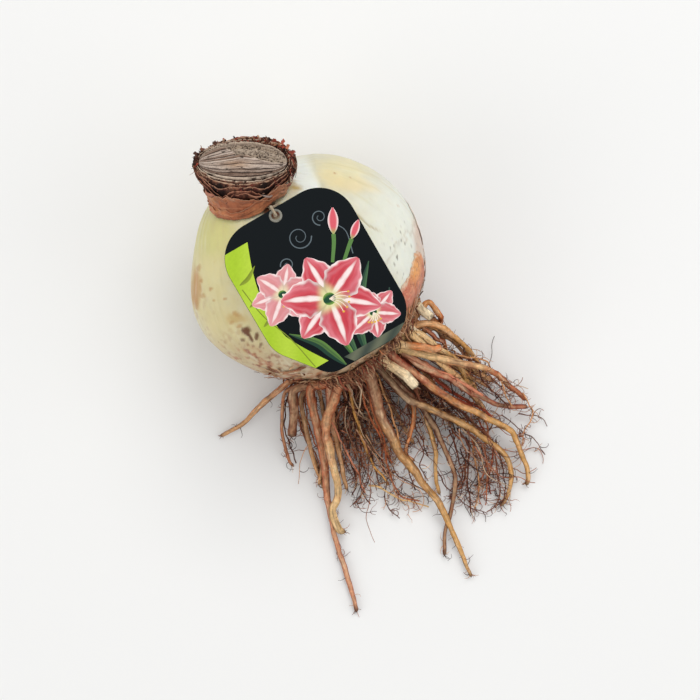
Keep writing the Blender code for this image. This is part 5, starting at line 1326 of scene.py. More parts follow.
# Fine roots that shape the two mats: radius near and far in millimetres, heights near and far,
# colour, side roots to a millimetre, and where they show in the picture
FEEDER_ROOTS = (
    (0.50, 0.32, 14, 3, "pink", 0.5, ((333, 422), (347, 451), (359, 475), (366, 493))),
    (0.80, 0.45, 16, 4, "ochre", 0.5, ((350, 392), (356, 416), (363, 440), (370, 460), (383, 477), (388, 484))),
    (0.55, 0.30, 16, 3, "umber", 0.6, ((345, 380), (340, 399), (349, 413), (357, 427), (361, 456), (361, 485), (370, 504))),
    (0.60, 0.40, 18, 6, "rust", 0.5, ((358, 378), (363, 395), (366, 410), (378, 430), (386, 448), (393, 463))),
    (0.55, 0.30, 17, 2, "rust", 0.7, ((366, 384), (372, 405), (379, 425), (386, 450), (389, 470), (395, 485), (402, 497), (420, 503))),
    (0.45, 0.30, 5, 2, "straw", 0.5, ((368, 485), (383, 490), (401, 498), (420, 503), (428, 506))),
    (0.50, 0.35, 16, 6, "tan", 0.4, ((380, 380), (387, 400), (395, 420), (400, 440), (403, 458))),
    (0.45, 0.28, 14, 2, "umber", 0.5, ((376, 378), (384, 392), (391, 410), (398, 428), (402, 447), (408, 468), (416, 488))),
    (0.50, 0.30, 14, 3, "umber", 0.6, ((348, 386), (352, 410), (358, 432), (370, 452), (376, 470), (380, 488))),
    (0.45, 0.28, 12, 3, "umber", 0.5, ((340, 390), (336, 410), (338, 425), (346, 440), (352, 462), (356, 480), (352, 496))),
    (0.40, 0.25, 12, 3, "umber", 0.5, ((355, 384), (357, 405), (352, 425), (348, 445), (344, 460), (338, 474))),
    (0.50, 0.30, 15, 4, "red", 0.6, ((362, 380), (370, 398), (377, 415), (380, 432), (382, 452), (384, 468))),
    (0.55, 0.32, 13, 4, "rust", 0.6, ((352, 380), (346, 400), (343, 420), (350, 440), (357, 460))),
    (0.50, 0.35, 18, 8, "brown", 0.5, ((370, 378), (376, 396), (381, 412), (383, 430))),
    (0.30, 0.20, 5, 2, "umber", 0.5, ((385, 455), (395, 470), (408, 482), (424, 490), (434, 492))),
    (0.30, 0.20, 5, 2, "umber", 0.5, ((372, 470), (366, 485), (360, 498), (352, 506))),
    (0.30, 0.20, 4, 2, "umber", 0.5, ((388, 482), (385, 497), (390, 510), (399, 517))),
    (0.60, 0.35, 15, 4, "brown", 0.4, ((300, 384), (296, 404), (300, 425), (310, 445), (318, 465), (322, 484))),
    (0.50, 0.30, 14, 4, "rust", 0.4, ((308, 384), (306, 410), (312, 436), (320, 458))),
    (0.60, 0.35, 14, 4, "tan", 0.3, ((312, 390), (318, 412), (322, 436), (326, 460))),
    (0.45, 0.28, 12, 3, "umber", 0.5, ((292, 386), (287, 404), (284, 424), (290, 444), (296, 462))),
    (1.00, 0.70, 30, 22, "pink", 0.2, ((424, 362), (440, 371), (457, 380), (473, 389), (482, 396))),
    (1.10, 0.70, 24, 14, "red", 0.3, ((410, 368), (426, 382), (450, 395), (468, 404), (480, 412))),
    (0.80, 0.45, 18, 5, "umber", 0.6, ((415, 380), (440, 396), (458, 410), (476, 424), (490, 440), (500, 452))),
    (1.00, 0.55, 16, 5, "brown", 0.3, ((424, 404), (445, 417), (466, 425), (483, 431), (501, 450), (508, 458))),
    (0.90, 0.60, 15, 8, "red", 0.3, ((455, 394), (464, 401), (479, 408), (495, 421), (508, 430))),
    (0.50, 0.30, 8, 2, "umber", 0.8, ((458, 428), (468, 447), (469, 462), (468, 482), (470, 503), (471, 513))),
    (0.45, 0.30, 8, 2, "red", 0.8, ((480, 420), (491, 442), (492, 462), (490, 477), (491, 495))),
    (0.35, 0.22, 7, 2, "umber", 0.6, ((495, 440), (501, 462), (505, 482), (503, 500), (494, 508))),
    (0.45, 0.28, 9, 2, "tan", 0.8, ((466, 414), (476, 431), (474, 452), (477, 472), (479, 493), (475, 508))),
    (0.40, 0.25, 9, 2, "rust", 0.8, ((478, 412), (487, 431), (485, 452), (487, 477), (485, 503))),
    (0.50, 0.30, 10, 3, "brown", 0.7, ((436, 404), (450, 426), (461, 442), (466, 457), (465, 477), (460, 490))),
    (0.60, 0.35, 14, 3, "umber", 0.4, ((418, 392), (430, 416), (436, 431), (445, 452), (453, 472), (454, 490))),
    (0.45, 0.30, 20, 14, "umber", 0.7, ((474, 360), (481, 373), (487, 386), (501, 401), (508, 408))),
    (0.40, 0.28, 20, 14, "tan", 0.5, ((482, 360), (490, 367), (501, 380), (507, 396), (512, 404))),
    (0.35, 0.22, 8, 3, "tan", 0.6, ((522, 393), (528, 404), (533, 413), (531, 421), (525, 430), (524, 445))),
    (0.26, 0.18, 5, 2, "umber", 0.3, ((518, 412), (530, 415), (541, 418), (546, 426))),
    (0.26, 0.18, 6, 2, "umber", 0.2, ((503, 415), (510, 421), (522, 431), (536, 442), (546, 456))),
    (0.50, 0.32, 17, 10, "tan", 0.8, ((440, 390), (455, 402), (470, 412), (486, 418), (500, 422))),
    (0.70, 0.42, 15, 5, "brown", 0.5, ((408, 378), (425, 395), (440, 405), (455, 418), (470, 436), (478, 450))),
    (0.35, 0.24, 7, 2, "rust", 0.8, ((466, 432), (480, 455), (483, 470), (478, 488), (482, 505))),
    (0.40, 0.25, 9, 2, "umber", 0.7, ((450, 430), (458, 458), (462, 474), (458, 490), (450, 500))),
    (0.35, 0.24, 7, 2, "brown", 0.7, ((492, 445), (497, 470), (500, 488), (495, 505), (486, 512))),
    (0.30, 0.20, 4, 2, "umber", 0.4, ((438, 470), (445, 485), (458, 498), (470, 508), (488, 514))),
    (0.50, 0.30, 13, 3, "umber", 0.4, ((402, 386), (408, 404), (414, 424), (422, 442), (430, 456))),
    (0.32, 0.22, 10, 6, "umber", 0.4, ((390, 396), (402, 408), (410, 420), (406, 436))),
    (0.34, 0.22, 9, 6, "umber", 0.4, ((398, 420), (408, 425), (418, 422), (430, 425))),
    (0.32, 0.20, 7, 4, "umber", 0.4, ((414, 436), (424, 452), (420, 466), (428, 480))),
)

# Wandering fine roots under the mats: where they start and end in the picture with their spread,
# how many, radius in millimetres, side roots each, and how long those are
MAT_FAMILIES = {
    "fine_roots_left": (
        ((352, 378, 8), (358, 432, 12), 34, 0.32, 3, 5.0),
        ((362, 382, 8), (380, 462, 12), 20, 0.30, 4, 6.0),
        ((360, 430, 12), (386, 488, 14), 10, 0.24, 5, 6.0),
        ((345, 400, 7), (350, 470, 12), 6, 0.24, 4, 6.0),
        ((390, 400, 8), (410, 452, 12), 4, 0.22, 3, 5.0),
    ),
    "fine_roots_right": (
        ((424, 384, 10), (480, 440, 14), 9, 0.34, 2, 5.0),
        ((440, 396, 11), (496, 450, 12), 6, 0.30, 2, 5.0),
        ((462, 432, 9), (480, 500, 12), 6, 0.26, 4, 6.0),
        ((480, 436, 9), (496, 492, 9), 5, 0.24, 4, 6.0),
        ((400, 368, 9), (450, 400, 10), 5, 0.28, 2, 4.0),
        ((470, 372, 8), (510, 404, 8), 6, 0.22, 3, 5.0),
        ((452, 348, 6), (488, 372, 8), 4, 0.20, 2, 5.0),
    ),
}
HAIR_TONES = (tone(68, 42, 36), tone(122, 74, 56), tone(170, 108, 80), tone(206, 158, 124), tone(228, 196, 162))


def inside_box(line):
    """How many points of a line, from its start, stay inside the object's box."""
    low = np.array(cad_box[0]) - 0.8 * MM
    high = np.array(cad_box[1]) + 0.8 * MM
    out = np.nonzero(((line < low) | (line > high)).any(axis=1))[0]
    return len(line) if len(out) == 0 else int(out[0])


def stray(rng, starts, headings, lengths, curl, rise, step):
    """Fine roots that leave their starts and curl about, never far from where they begin."""
    count = len(starts)
    steps = max(5, int(np.max(lengths) / step))
    place = starts.copy()
    heading = headings.copy()
    spin = rng.normal(0, 1.0, count)
    pace = lengths / steps
    climb = rise.copy()
    track = [place.copy()]
    for _ in range(steps):
        spin = 0.8 * spin + rng.normal(0, 0.6, count)
        heading = heading + spin * curl
        climb = climb * 0.92 - 0.02 + rng.normal(0, 0.10, count)
        way = np.stack((np.cos(heading), np.sin(heading), climb), axis=1)
        place = place + way * pace[:, None]
        low = place[:, 2] < 0.5 * MM
        climb = np.where(low, np.abs(climb) + 0.05, climb)
        track.append(place.copy())
    return np.stack(track, axis=1)


def build_fine_roots(routes):
    """Two tangled mats of fine roots, and short hairs along the thick roots."""
    mat = surface("fine_root_bark", 0.75, bumps=((0.0006, 0.5),), mottle=(0.3, 0.0025), depth=0.0002)
    rng = np.random.default_rng(17)
    hair_seats = []
    lines = {"feeder_roots": [], "fine_roots_left": [], "fine_roots_right": [], "root_hairs": []}

    def keep(name, line, radii, paint):
        count = inside_box(line)
        if count < 4:
            return
        shade = 1.0 + 0.25 * grain(line[:count], 3.0 * MM, 7.0)[:, None]
        lines[name].append((line[:count], radii[:count], paint[None, :] * shade))

    def paint_of(weights):
        return HAIR_TONES[rng.choice(5, p=weights)] * rng.uniform(0.8, 1.2)

    def side_roots(name, line, count, length, radius, parent):
        if count < 1:
            return
        station = (rng.uniform(0.12, 1.0, count) * (len(line) - 2)).astype(int)
        starts = line[station]
        ways = line[station + 1] - starts
        swing = rng.choice((-1.0, 1.0), count) * rng.uniform(0.4, 1.5, count)
        headings = np.arctan2(ways[:, 1], ways[:, 0]) + swing
        lengths = length * rng.uniform(0.4, 1.5, count) * MM
        tracks = stray(rng, starts, headings, lengths, 0.30, rng.normal(0.0, 0.3, count), 0.8 * MM)
        for track in tracks:
            radii = radius * rng.uniform(0.7, 1.2) * MM * (1.0 - 0.55 * np.linspace(0.0, 1.0, len(track)))
            paint = paint_of((0.34, 0.28, 0.20, 0.12, 0.06))
            if rng.random() < 0.3:
                paint = 0.6 * paint + 0.4 * parent
            line_out = keep_clear(track, radii)
            keep(name, line_out, radii, paint)
            if rng.random() < 0.25:
                hair_seats.append(line_out[-2])

    for near, far, high, low, colour, hairs, places in FEEDER_ROOTS:
        places = np.array(places, dtype=float)
        part = np.linspace(0.0, 1.0, len(places))
        route = spot(places[:, 0], places[:, 1], (low + (high - low) * (1.0 - part) ** 1.4) * MM)
        if high > 9.5 and places[0][1] < 410:
            seat = plate_seat(route[0], 15.0 * MM)
            route = np.vstack(([seat, seat + (route[0] - seat) * 0.55 + ROOT_WAY * 3.0 * MM], route))
        line = spline(route, 0.8 * MM)
        sway = np.stack([grain(line, 7.0 * MM, near * 31.0 + axis) for axis in range(3)], axis=1)
        fine = np.stack([grain(line, 2.6 * MM, near * 57.0 + axis) for axis in range(3)], axis=1)
        line = line + sway * 1.0 * MM + fine * 0.35 * MM
        t = np.linspace(0.0, 1.0, len(line))
        radii = (near + (far - near) * t) * MM * (1.0 + 0.18 * grain(line, 3.0 * MM, 9.0))
        line = np.vstack((line[:1], keep_clear(line[1:], radii[1:])))
        base = ROOT_TONES[colour]
        keep("feeder_roots", line, radii, base * rng.uniform(0.85, 1.1))
        name = "fine_roots_left" if places[:, 0].mean() < 408 else "fine_roots_right"
        count = int(len(line) * 0.8 * hairs * 1.0)
        side_roots(name, line[len(line) // 5:], count, 5.0, 0.23, base)

    for name, families in MAT_FAMILIES.items():
        for (sx, sy, near), (ex, ey, far), count, radius, branches, length in families:
            first = spot(sx + rng.normal(0, near, count), sy + rng.normal(0, near, count),
                         rng.uniform(5.0, 20.0, count) * MM)
            last = spot(ex + rng.normal(0, far, count), ey + rng.normal(0, far, count),
                        rng.uniform(1.0, 7.0, count) * MM)
            tracks = wander(rng, first, last, rng.uniform(0.0, 2.0, count) * MM, 0.16, 1.2 * MM, 1.25)
            for track in tracks:
                line = track
                if sy < 400:
                    seat = plate_seat(track[0], 15.0 * MM)
                    lead = spline([seat, seat + (track[0] - seat) * 0.55 + ROOT_WAY * 3.0 * MM, track[0]], 3.0 * MM)
                    line = np.vstack((lead[:-1], track))
                radii = radius * rng.uniform(0.9, 1.6) * MM * (1.0 - 0.5 * np.linspace(0.0, 1.0, len(line)))
                line = np.vstack((line[:1], keep_clear(line[1:], radii[1:])))
                paint = paint_of((0.18, 0.28, 0.26, 0.18, 0.10))
                keep(name, line, radii, paint)
                side_roots(name, track, rng.poisson(branches), length, 0.21, paint)

    for line, radii, _, _ in routes:
        for _ in range(int(len(line) * 0.16)):
            hair_seats.append(line[rng.integers(len(line) // 3, len(line))])
    for line, radii, near, far in routes:
        way = math.atan2(line[-1][1] - line[-4][1], line[-1][0] - line[-4][0])
        count = 5 if radii[len(radii) // 2] > 1.4 * MM else 3
        tracks = stray(rng, np.repeat(line[-3:-2], count, axis=0), way + rng.normal(0.0, 0.5, count),
                       rng.uniform(1.5, 4.5, count) * MM, 0.25, rng.normal(0.0, 0.3, count), 0.7 * MM)
        for track in tracks:
            radii_out = np.linspace(rng.uniform(0.18, 0.32), 0.08, len(track)) * MM
            keep("root_hairs", keep_clear(track, radii_out), radii_out, paint_of((0.3, 0.3, 0.2, 0.12, 0.08)))
    seats = np.array(hair_seats)
    count = len(seats)
    headings = np.where(rng.random(count) < 0.7, rng.uniform(-0.9, 1.2, count), rng.uniform(-2.6, 2.6, count))
    tracks = stray(rng, seats, headings, rng.uniform(2.0, 7.0, count) * MM, 0.34,
                   rng.normal(0.1, 0.4, count), 0.8 * MM)
    for track in tracks:
        radii = np.linspace(rng.uniform(0.15, 0.24), 0.07, len(track)) * MM
        keep("root_hairs", keep_clear(track, radii), radii, paint_of((0.4, 0.3, 0.18, 0.08, 0.04)))
    strands("feeder_roots", lines["feeder_roots"], 6, mat, "roots")
    for name in ("fine_roots_left", "fine_roots_right", "root_hairs"):
        strands(name, lines[name], 3, mat, "roots")


def label_frame():
    """Seat of the label on top of the bulb, with its right, down and outward ways."""
    seat = BULB_MIDDLE + np.array((LABEL_SPOT[0], LABEL_SPOT[1], 0.0))
    low = 0.0
    high = 2.0 * BULB_HALF_WIDTH
    for _ in range(40):
        middle = (low + high) / 2.0
        if bulb_heights(seat + np.array((0.0, 0.0, middle))) < 0.0:
            low = middle
        else:
            high = middle
    seat = seat + np.array((0.0, 0.0, low))
    slopes = []
    for axis in range(3):
        step = np.zeros(3)
        step[axis] = 0.5 * MM
        slopes.append(bulb_heights(seat + step) - bulb_heights(seat - step))
    out = np.array(slopes) / np.linalg.norm(slopes)
    down = np.array((math.cos(LABEL_TURN), math.sin(LABEL_TURN), 0.0))
    down = down - out * down.dot(out)
    down = down / np.linalg.norm(down)
    return seat, np.cross(out, down), down, out


LABEL_SEAT, LABEL_RIGHT, LABEL_DOWN, LABEL_OUT = label_frame()


def label_point(right, down, height):
    """Points of the bent label by place on the card and height over the middle of its thickness."""
    right, down, height = np.broadcast_arrays(right, down, height)
    angle = down / LABEL_BEND
    radius = LABEL_BEND + height
    lift = LABEL_GAP + LABEL_THICK / 2.0
    return (LABEL_SEAT + right[..., None] * LABEL_RIGHT + (radius * np.sin(angle))[..., None] * LABEL_DOWN
            + (radius * np.cos(angle) - LABEL_BEND + lift)[..., None] * LABEL_OUT)


def plain(name, colour, roughness, coat=0.0, bump=None, gloss=0.5):
    """A material of one colour with a fine grain in its surface."""
    mat = bpy.data.materials.new(name)
    mat.use_nodes = True
    nodes = mat.node_tree.nodes
    links = mat.node_tree.links
    shader = nodes["Principled BSDF"]
    shader.inputs["Base Color"].default_value = (*colour, 1.0)
    shader.inputs["Roughness"].default_value = roughness
    shader.inputs["Coat Weight"].default_value = coat
    shader.inputs["Coat Roughness"].default_value = 0.15
    shader.inputs["Specular IOR Level"].default_value = gloss
    if bump:
        place = nodes.new("ShaderNodeTexCoord")
        texture = nodes.new("ShaderNodeTexNoise")
        texture.inputs["Scale"].default_value = 1.0 / bump[0]
        links.new(place.outputs["Object"], texture.inputs["Vector"])
        rise = nodes.new("ShaderNodeBump")
        rise.inputs["Strength"].default_value = 0.5
        rise.inputs["Distance"].default_value = bump[1]
        links.new(texture.outputs["Fac"], rise.inputs["Height"])
        links.new(rise.outputs["Normal"], shader.inputs["Normal"])
    return mat


def eased_corner(before, corner, after, reach, steps):
    """Points of a soft bend round a corner between two straight edges."""
    corner = Vector(corner)
    first = corner + (Vector(before) - corner).normalized() * reach
    last = corner + (Vector(after) - corner).normalized() * reach
    points = []
    for step in range(steps + 1):
        t = step / steps
        points.append(tuple(first * (1 - t) ** 2 + corner * 2 * t * (1 - t) + last * t ** 2))
    return points


def card_outline(steps):
    """Outline of the card with three round corners and one cut across, anticlockwise."""
    points = []
    low = (LABEL_CUT[0] - LABEL_WIDTH / 2, LABEL_LENGTH / 2)
    high = (-LABEL_WIDTH / 2, LABEL_LENGTH / 2 - LABEL_CUT[1])
    for index in range(4):
        if index == 1:
            points += eased_corner((0, LABEL_LENGTH / 2), low, high, LABEL_CUT_BEND, steps // 2)
            points += eased_corner(low, high, (-LABEL_WIDTH / 2, 0), LABEL_CUT_BEND, steps // 2)
            continue
        x = (LABEL_WIDTH / 2 - LABEL_CORNER) * (1 if index in (0, 3) else -1)
        y = (LABEL_LENGTH / 2 - LABEL_CORNER) * (1 if index in (0, 1) else -1)
        for step in range(steps + 1):
            angle = math.pi / 2 * (index + step / steps)
            points.append((x + LABEL_CORNER * math.cos(angle), y + LABEL_CORNER * math.sin(angle)))
    return points


def build_label():
    """The card: round corners, a hole near its upper edge, a dark printed face and pale edges."""
    curve = bpy.data.curves.new("label_outline", "CURVE")
    curve.dimensions = "2D"
    curve.fill_mode = "BOTH"
    curve.extrude = LABEL_THICK / 2.0
    turns = [2.0 * math.pi * k / 40 for k in range(40)]
    hole = [(HOLE_RADIUS * math.cos(turn), HOLE_DOWN + HOLE_RADIUS * math.sin(turn)) for turn in turns]
    for loop in (card_outline(24), hole):
        line = curve.splines.new("POLY")
        line.points.add(len(loop) - 1)
        for point, (x, y) in zip(line.points, loop):
            point.co = (x, y, 0.0, 1.0)
        line.use_cyclic_u = True
    source = bpy.data.objects.new("label_outline", curve)
    bpy.context.scene.collection.objects.link(source)
    depsgraph = bpy.context.evaluated_depsgraph_get()
    mesh = bpy.data.meshes.new_from_object(source.evaluated_get(depsgraph))
    bpy.data.objects.remove(source, do_unlink=True)
    bm = bmesh.new()
    bm.from_mesh(mesh)
    bmesh.ops.remove_doubles(bm, verts=bm.verts, dist=0.003 * MM)
    for band in range(1, 48):
        down = LABEL_LENGTH * (band / 48.0 - 0.5)
        everything = bm.verts[:] + bm.edges[:] + bm.faces[:]
        bmesh.ops.bisect_plane(bm, geom=everything, dist=0.0005 * MM, plane_co=(0, down, 0), plane_no=(0, 1, 0))
    bmesh.ops.triangulate(bm, faces=bm.faces)
    for face in bm.faces:
        face.material_index = 0 if face.normal.z > 0.5 else 1
        face.smooth = False
    for vert in bm.verts:
        vert.co = Vector(label_point(vert.co.x, vert.co.y, vert.co.z))
    bmesh.ops.recalc_face_normals(bm, faces=bm.faces)
    if bm.calc_volume(signed=True) < 0.0:
        bmesh.ops.reverse_faces(bm, faces=bm.faces)
    card = bpy.data.meshes.new("label_card")
    bm.to_mesh(card)
    bm.free()
    card.materials.append(plain("label_face", tone(6, 14, 18), 0.6, 0.0, (0.0012, 0.00002), 0.12))
    card.materials.append(plain("label_stock", tone(206, 208, 202), 0.7, 0.0, (0.0006, 0.00005)))
    piece = bpy.data.objects.new("label_card", card)
    bpy.context.scene.collection.objects.link(piece)
    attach(piece, "root")
    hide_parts("label")


class Print:
    """Thin printed shapes that follow the bent card, each a grid with a colour at each point."""

    def __init__(self):
        self.points = []
        self.faces = []
        self.tints = []
        self.uvs = []
        self.count = 0
        self.level = 0

    def add(self, x, y, colour, u, v):
        rows, columns = x.shape
        self.level += 1
        height = LABEL_THICK / 2.0 + (0.012 + 0.0022 * self.level) * MM
        self.points.append(label_point(x * MM, y * MM, height).reshape(-1, 3))
        self.faces.extend(grid_faces(rows, columns, False, self.count).tolist())
        self.tints.append(colour.reshape(-1, 3))
        self.uvs.append(np.stack((u, v), axis=-1).reshape(-1, 2))
        self.count += rows * columns


def label_reach(y):
    """How far the card reaches left and right at a place down it, in millimetres."""
    outline = np.array(card_outline(40)) / MM
    right = outline[outline[:, 0] > 0.0]
    left = outline[outline[:, 0] <= 0.0]
    right = right[np.argsort(right[:, 1])]
    left = left[np.argsort(left[:, 1])]
    return np.interp(y, left[:, 1], left[:, 0]) + 0.15, np.interp(y, right[:, 1], right[:, 0]) - 0.15


def print_band(page, y0, y1, left, right, paint):
    """A printed area between two edges, from one place down the card to another."""
    rows = 60
    v = np.linspace(0.0, 1.0, rows)[:, None] + np.zeros((1, 14))
    u = np.linspace(0.0, 1.0, 14)[None, :] + np.zeros((rows, 1))
    y = y0 + (y1 - y0) * v
    low_end, high_end = label_reach(y)
    low = np.clip(left(y), low_end, high_end)
    high = np.clip(right(y), low_end, high_end)
    x = low + (high - low) * u
    page.add(x, y, paint(x, y, u, v), u, v)


def print_ribbon(page, route, width, paint, rows=40, columns=9):
    """A printed shape along a route, with a width at each place along it."""
    line = spline([(x, y, 0.0) for x, y in route], 0.4)
    goal = np.linspace(0.0, 1.0, rows)
    have = np.linspace(0.0, 1.0, len(line))
    x0 = np.interp(goal, have, line[:, 0])
    y0 = np.interp(goal, have, line[:, 1])
    way = np.stack((np.gradient(x0), np.gradient(y0)), axis=1)
    way = way / np.linalg.norm(way, axis=1)[:, None]
    across = np.linspace(-1.0, 1.0, columns)[None, :]
    half = width(goal)[:, None]
    x = x0[:, None] - way[:, 1:2] * across * half
    y = y0[:, None] + way[:, 0:1] * across * half
    low, high = label_reach(y)
    x = np.clip(x, low, high)
    u = goal[:, None] + np.zeros((1, columns))
    v = across + np.zeros((rows, 1))
    page.add(x, y, paint(u, v), u, v * 0.5 + 0.5)


def print_blossom(page, centre, size, turn, squash=1.0, petals=6, wash=0.0):
    """An open blossom of broad striped petals round a green throat."""
    rose = tone(204, 66, 78)
    deep = tone(160, 34, 50)
    pink = tone(232, 150, 160)
    white = tone(252, 244, 240)
    for ring in (1, 0):
        for index in range(petals // 2):
            angle = math.radians(turn + 360.0 * (index * 2 + ring) / petals)
            bend = 0.12 * math.sin(index * 2.3 + ring)
            way = np.array((math.cos(angle), math.sin(angle)))
            side = np.array((-way[1], way[0]))
            reach = size * (1.0 + 0.06 * math.sin(index * 1.9 + 2.0 * ring))
            route = []
            for part in (0.04, 0.35, 0.7, 1.0):
                place = way * part * reach + side * bend * part ** 2 * reach
                route.append((centre[0] + place[0], centre[1] + place[1] * squash))
            broad = 0.44 if ring == 0 else 0.40

            def width(t, broad=broad):
                belly = np.sin(np.pi * np.clip(t * 0.92 + 0.06, 0.0, 1.0)) ** 0.8
                ripple = 1.0 + 0.04 * np.sin(t * 21.0) + 0.03 * np.sin(t * 37.0)
                return size * broad * belly * ripple * (1.0 - 0.32 * t)

            def paint(u, v, ring=ring, index=index):
                veins = 0.5 + 0.5 * np.sin(v * 21.0 + 4.0 * u + index)
                fine = 0.5 + 0.5 * np.sin(v * 47.0 + 9.0 * u)
                rim = ramp(np.abs(v) + 0.05 * np.sin(u * 23.0 + index), 0.80, 0.97)
                spine = 1.0 - ramp(np.abs(v) + 0.02 * np.sin(u * 17.0), 0.06 + 0.05 * (1.0 - u), 0.20)
                colour = np.zeros(u.shape + (3,)) + rose
                colour = blend(colour, deep, veins * 0.5 * (1.0 - 0.5 * u))
                colour = blend(colour, pink, fine * ramp(np.abs(v), 0.2, 0.8) * 0.45 + ramp(u, 0.6, 1.0) * 0.3)
                colour = blend(colour, pink, ramp(v, 0.1, 0.9) * 0.35)
                colour = blend(colour, white, rim * 0.9)
                colour = blend(colour, white, spine * ramp(u, 0.02, 0.2) * (1.0 - ramp(u, 0.75, 1.0)) * 0.85)
                colour = blend(colour, tone(226, 232, 170), (1.0 - ramp(u, 0.06, 0.28)) * 0.85)
                colour = blend(colour, tone(120, 24, 40), (1.0 - ramp(u, 0.2, 0.7)) * ramp(np.abs(v), 0.5, 0.95) * 0.4)
                return blend(colour, tone(238, 206, 204), wash + 0.0 * u)

            print_ribbon(page, route, width, paint, 44, 21)

    def throat(u, v):
        return blend(np.zeros(u.shape + (3,)) + tone(24, 70, 46), tone(120, 160, 70), ramp(np.abs(v), 0.4, 1.0))

    reach = size * 0.13
    print_ribbon(page, [(centre[0] - reach, centre[1]), (centre[0], centre[1] + 0.02), (centre[0] + reach, centre[1])],
                 lambda t: reach * squash * np.sqrt(np.clip(1.0 - (2.0 * t - 1.0) ** 2, 0.0, 1.0)), throat, 24, 11)
    for index in range(5):
        angle = math.radians(turn + 35.0 + index * 16.0)
        tip = (centre[0] + math.cos(angle) * size * 0.40, centre[1] + math.sin(angle) * size * 0.40 * squash)
        middle = (centre[0] + math.cos(angle - 0.2) * size * 0.22, centre[1] + math.sin(angle - 0.2) * size * 0.22 * squash)
        print_ribbon(page, [centre, middle, tip], lambda t: 0.16 + 0.0 * t,
                     lambda u, v: np.zeros(u.shape + (3,)) + tone(244, 226, 206), 14, 3)
        print_ribbon(page, [(tip[0] - 0.5, tip[1]), (tip[0], tip[1] + 0.02), (tip[0] + 0.6, tip[1] + 0.1)],
                     lambda t: 0.42 * np.sqrt(np.clip(1.0 - (2.0 * t - 1.0) ** 2, 0.0, 1.0)),
                     lambda u, v: np.zeros(u.shape + (3,)) + tone(226, 178, 70), 8, 5)


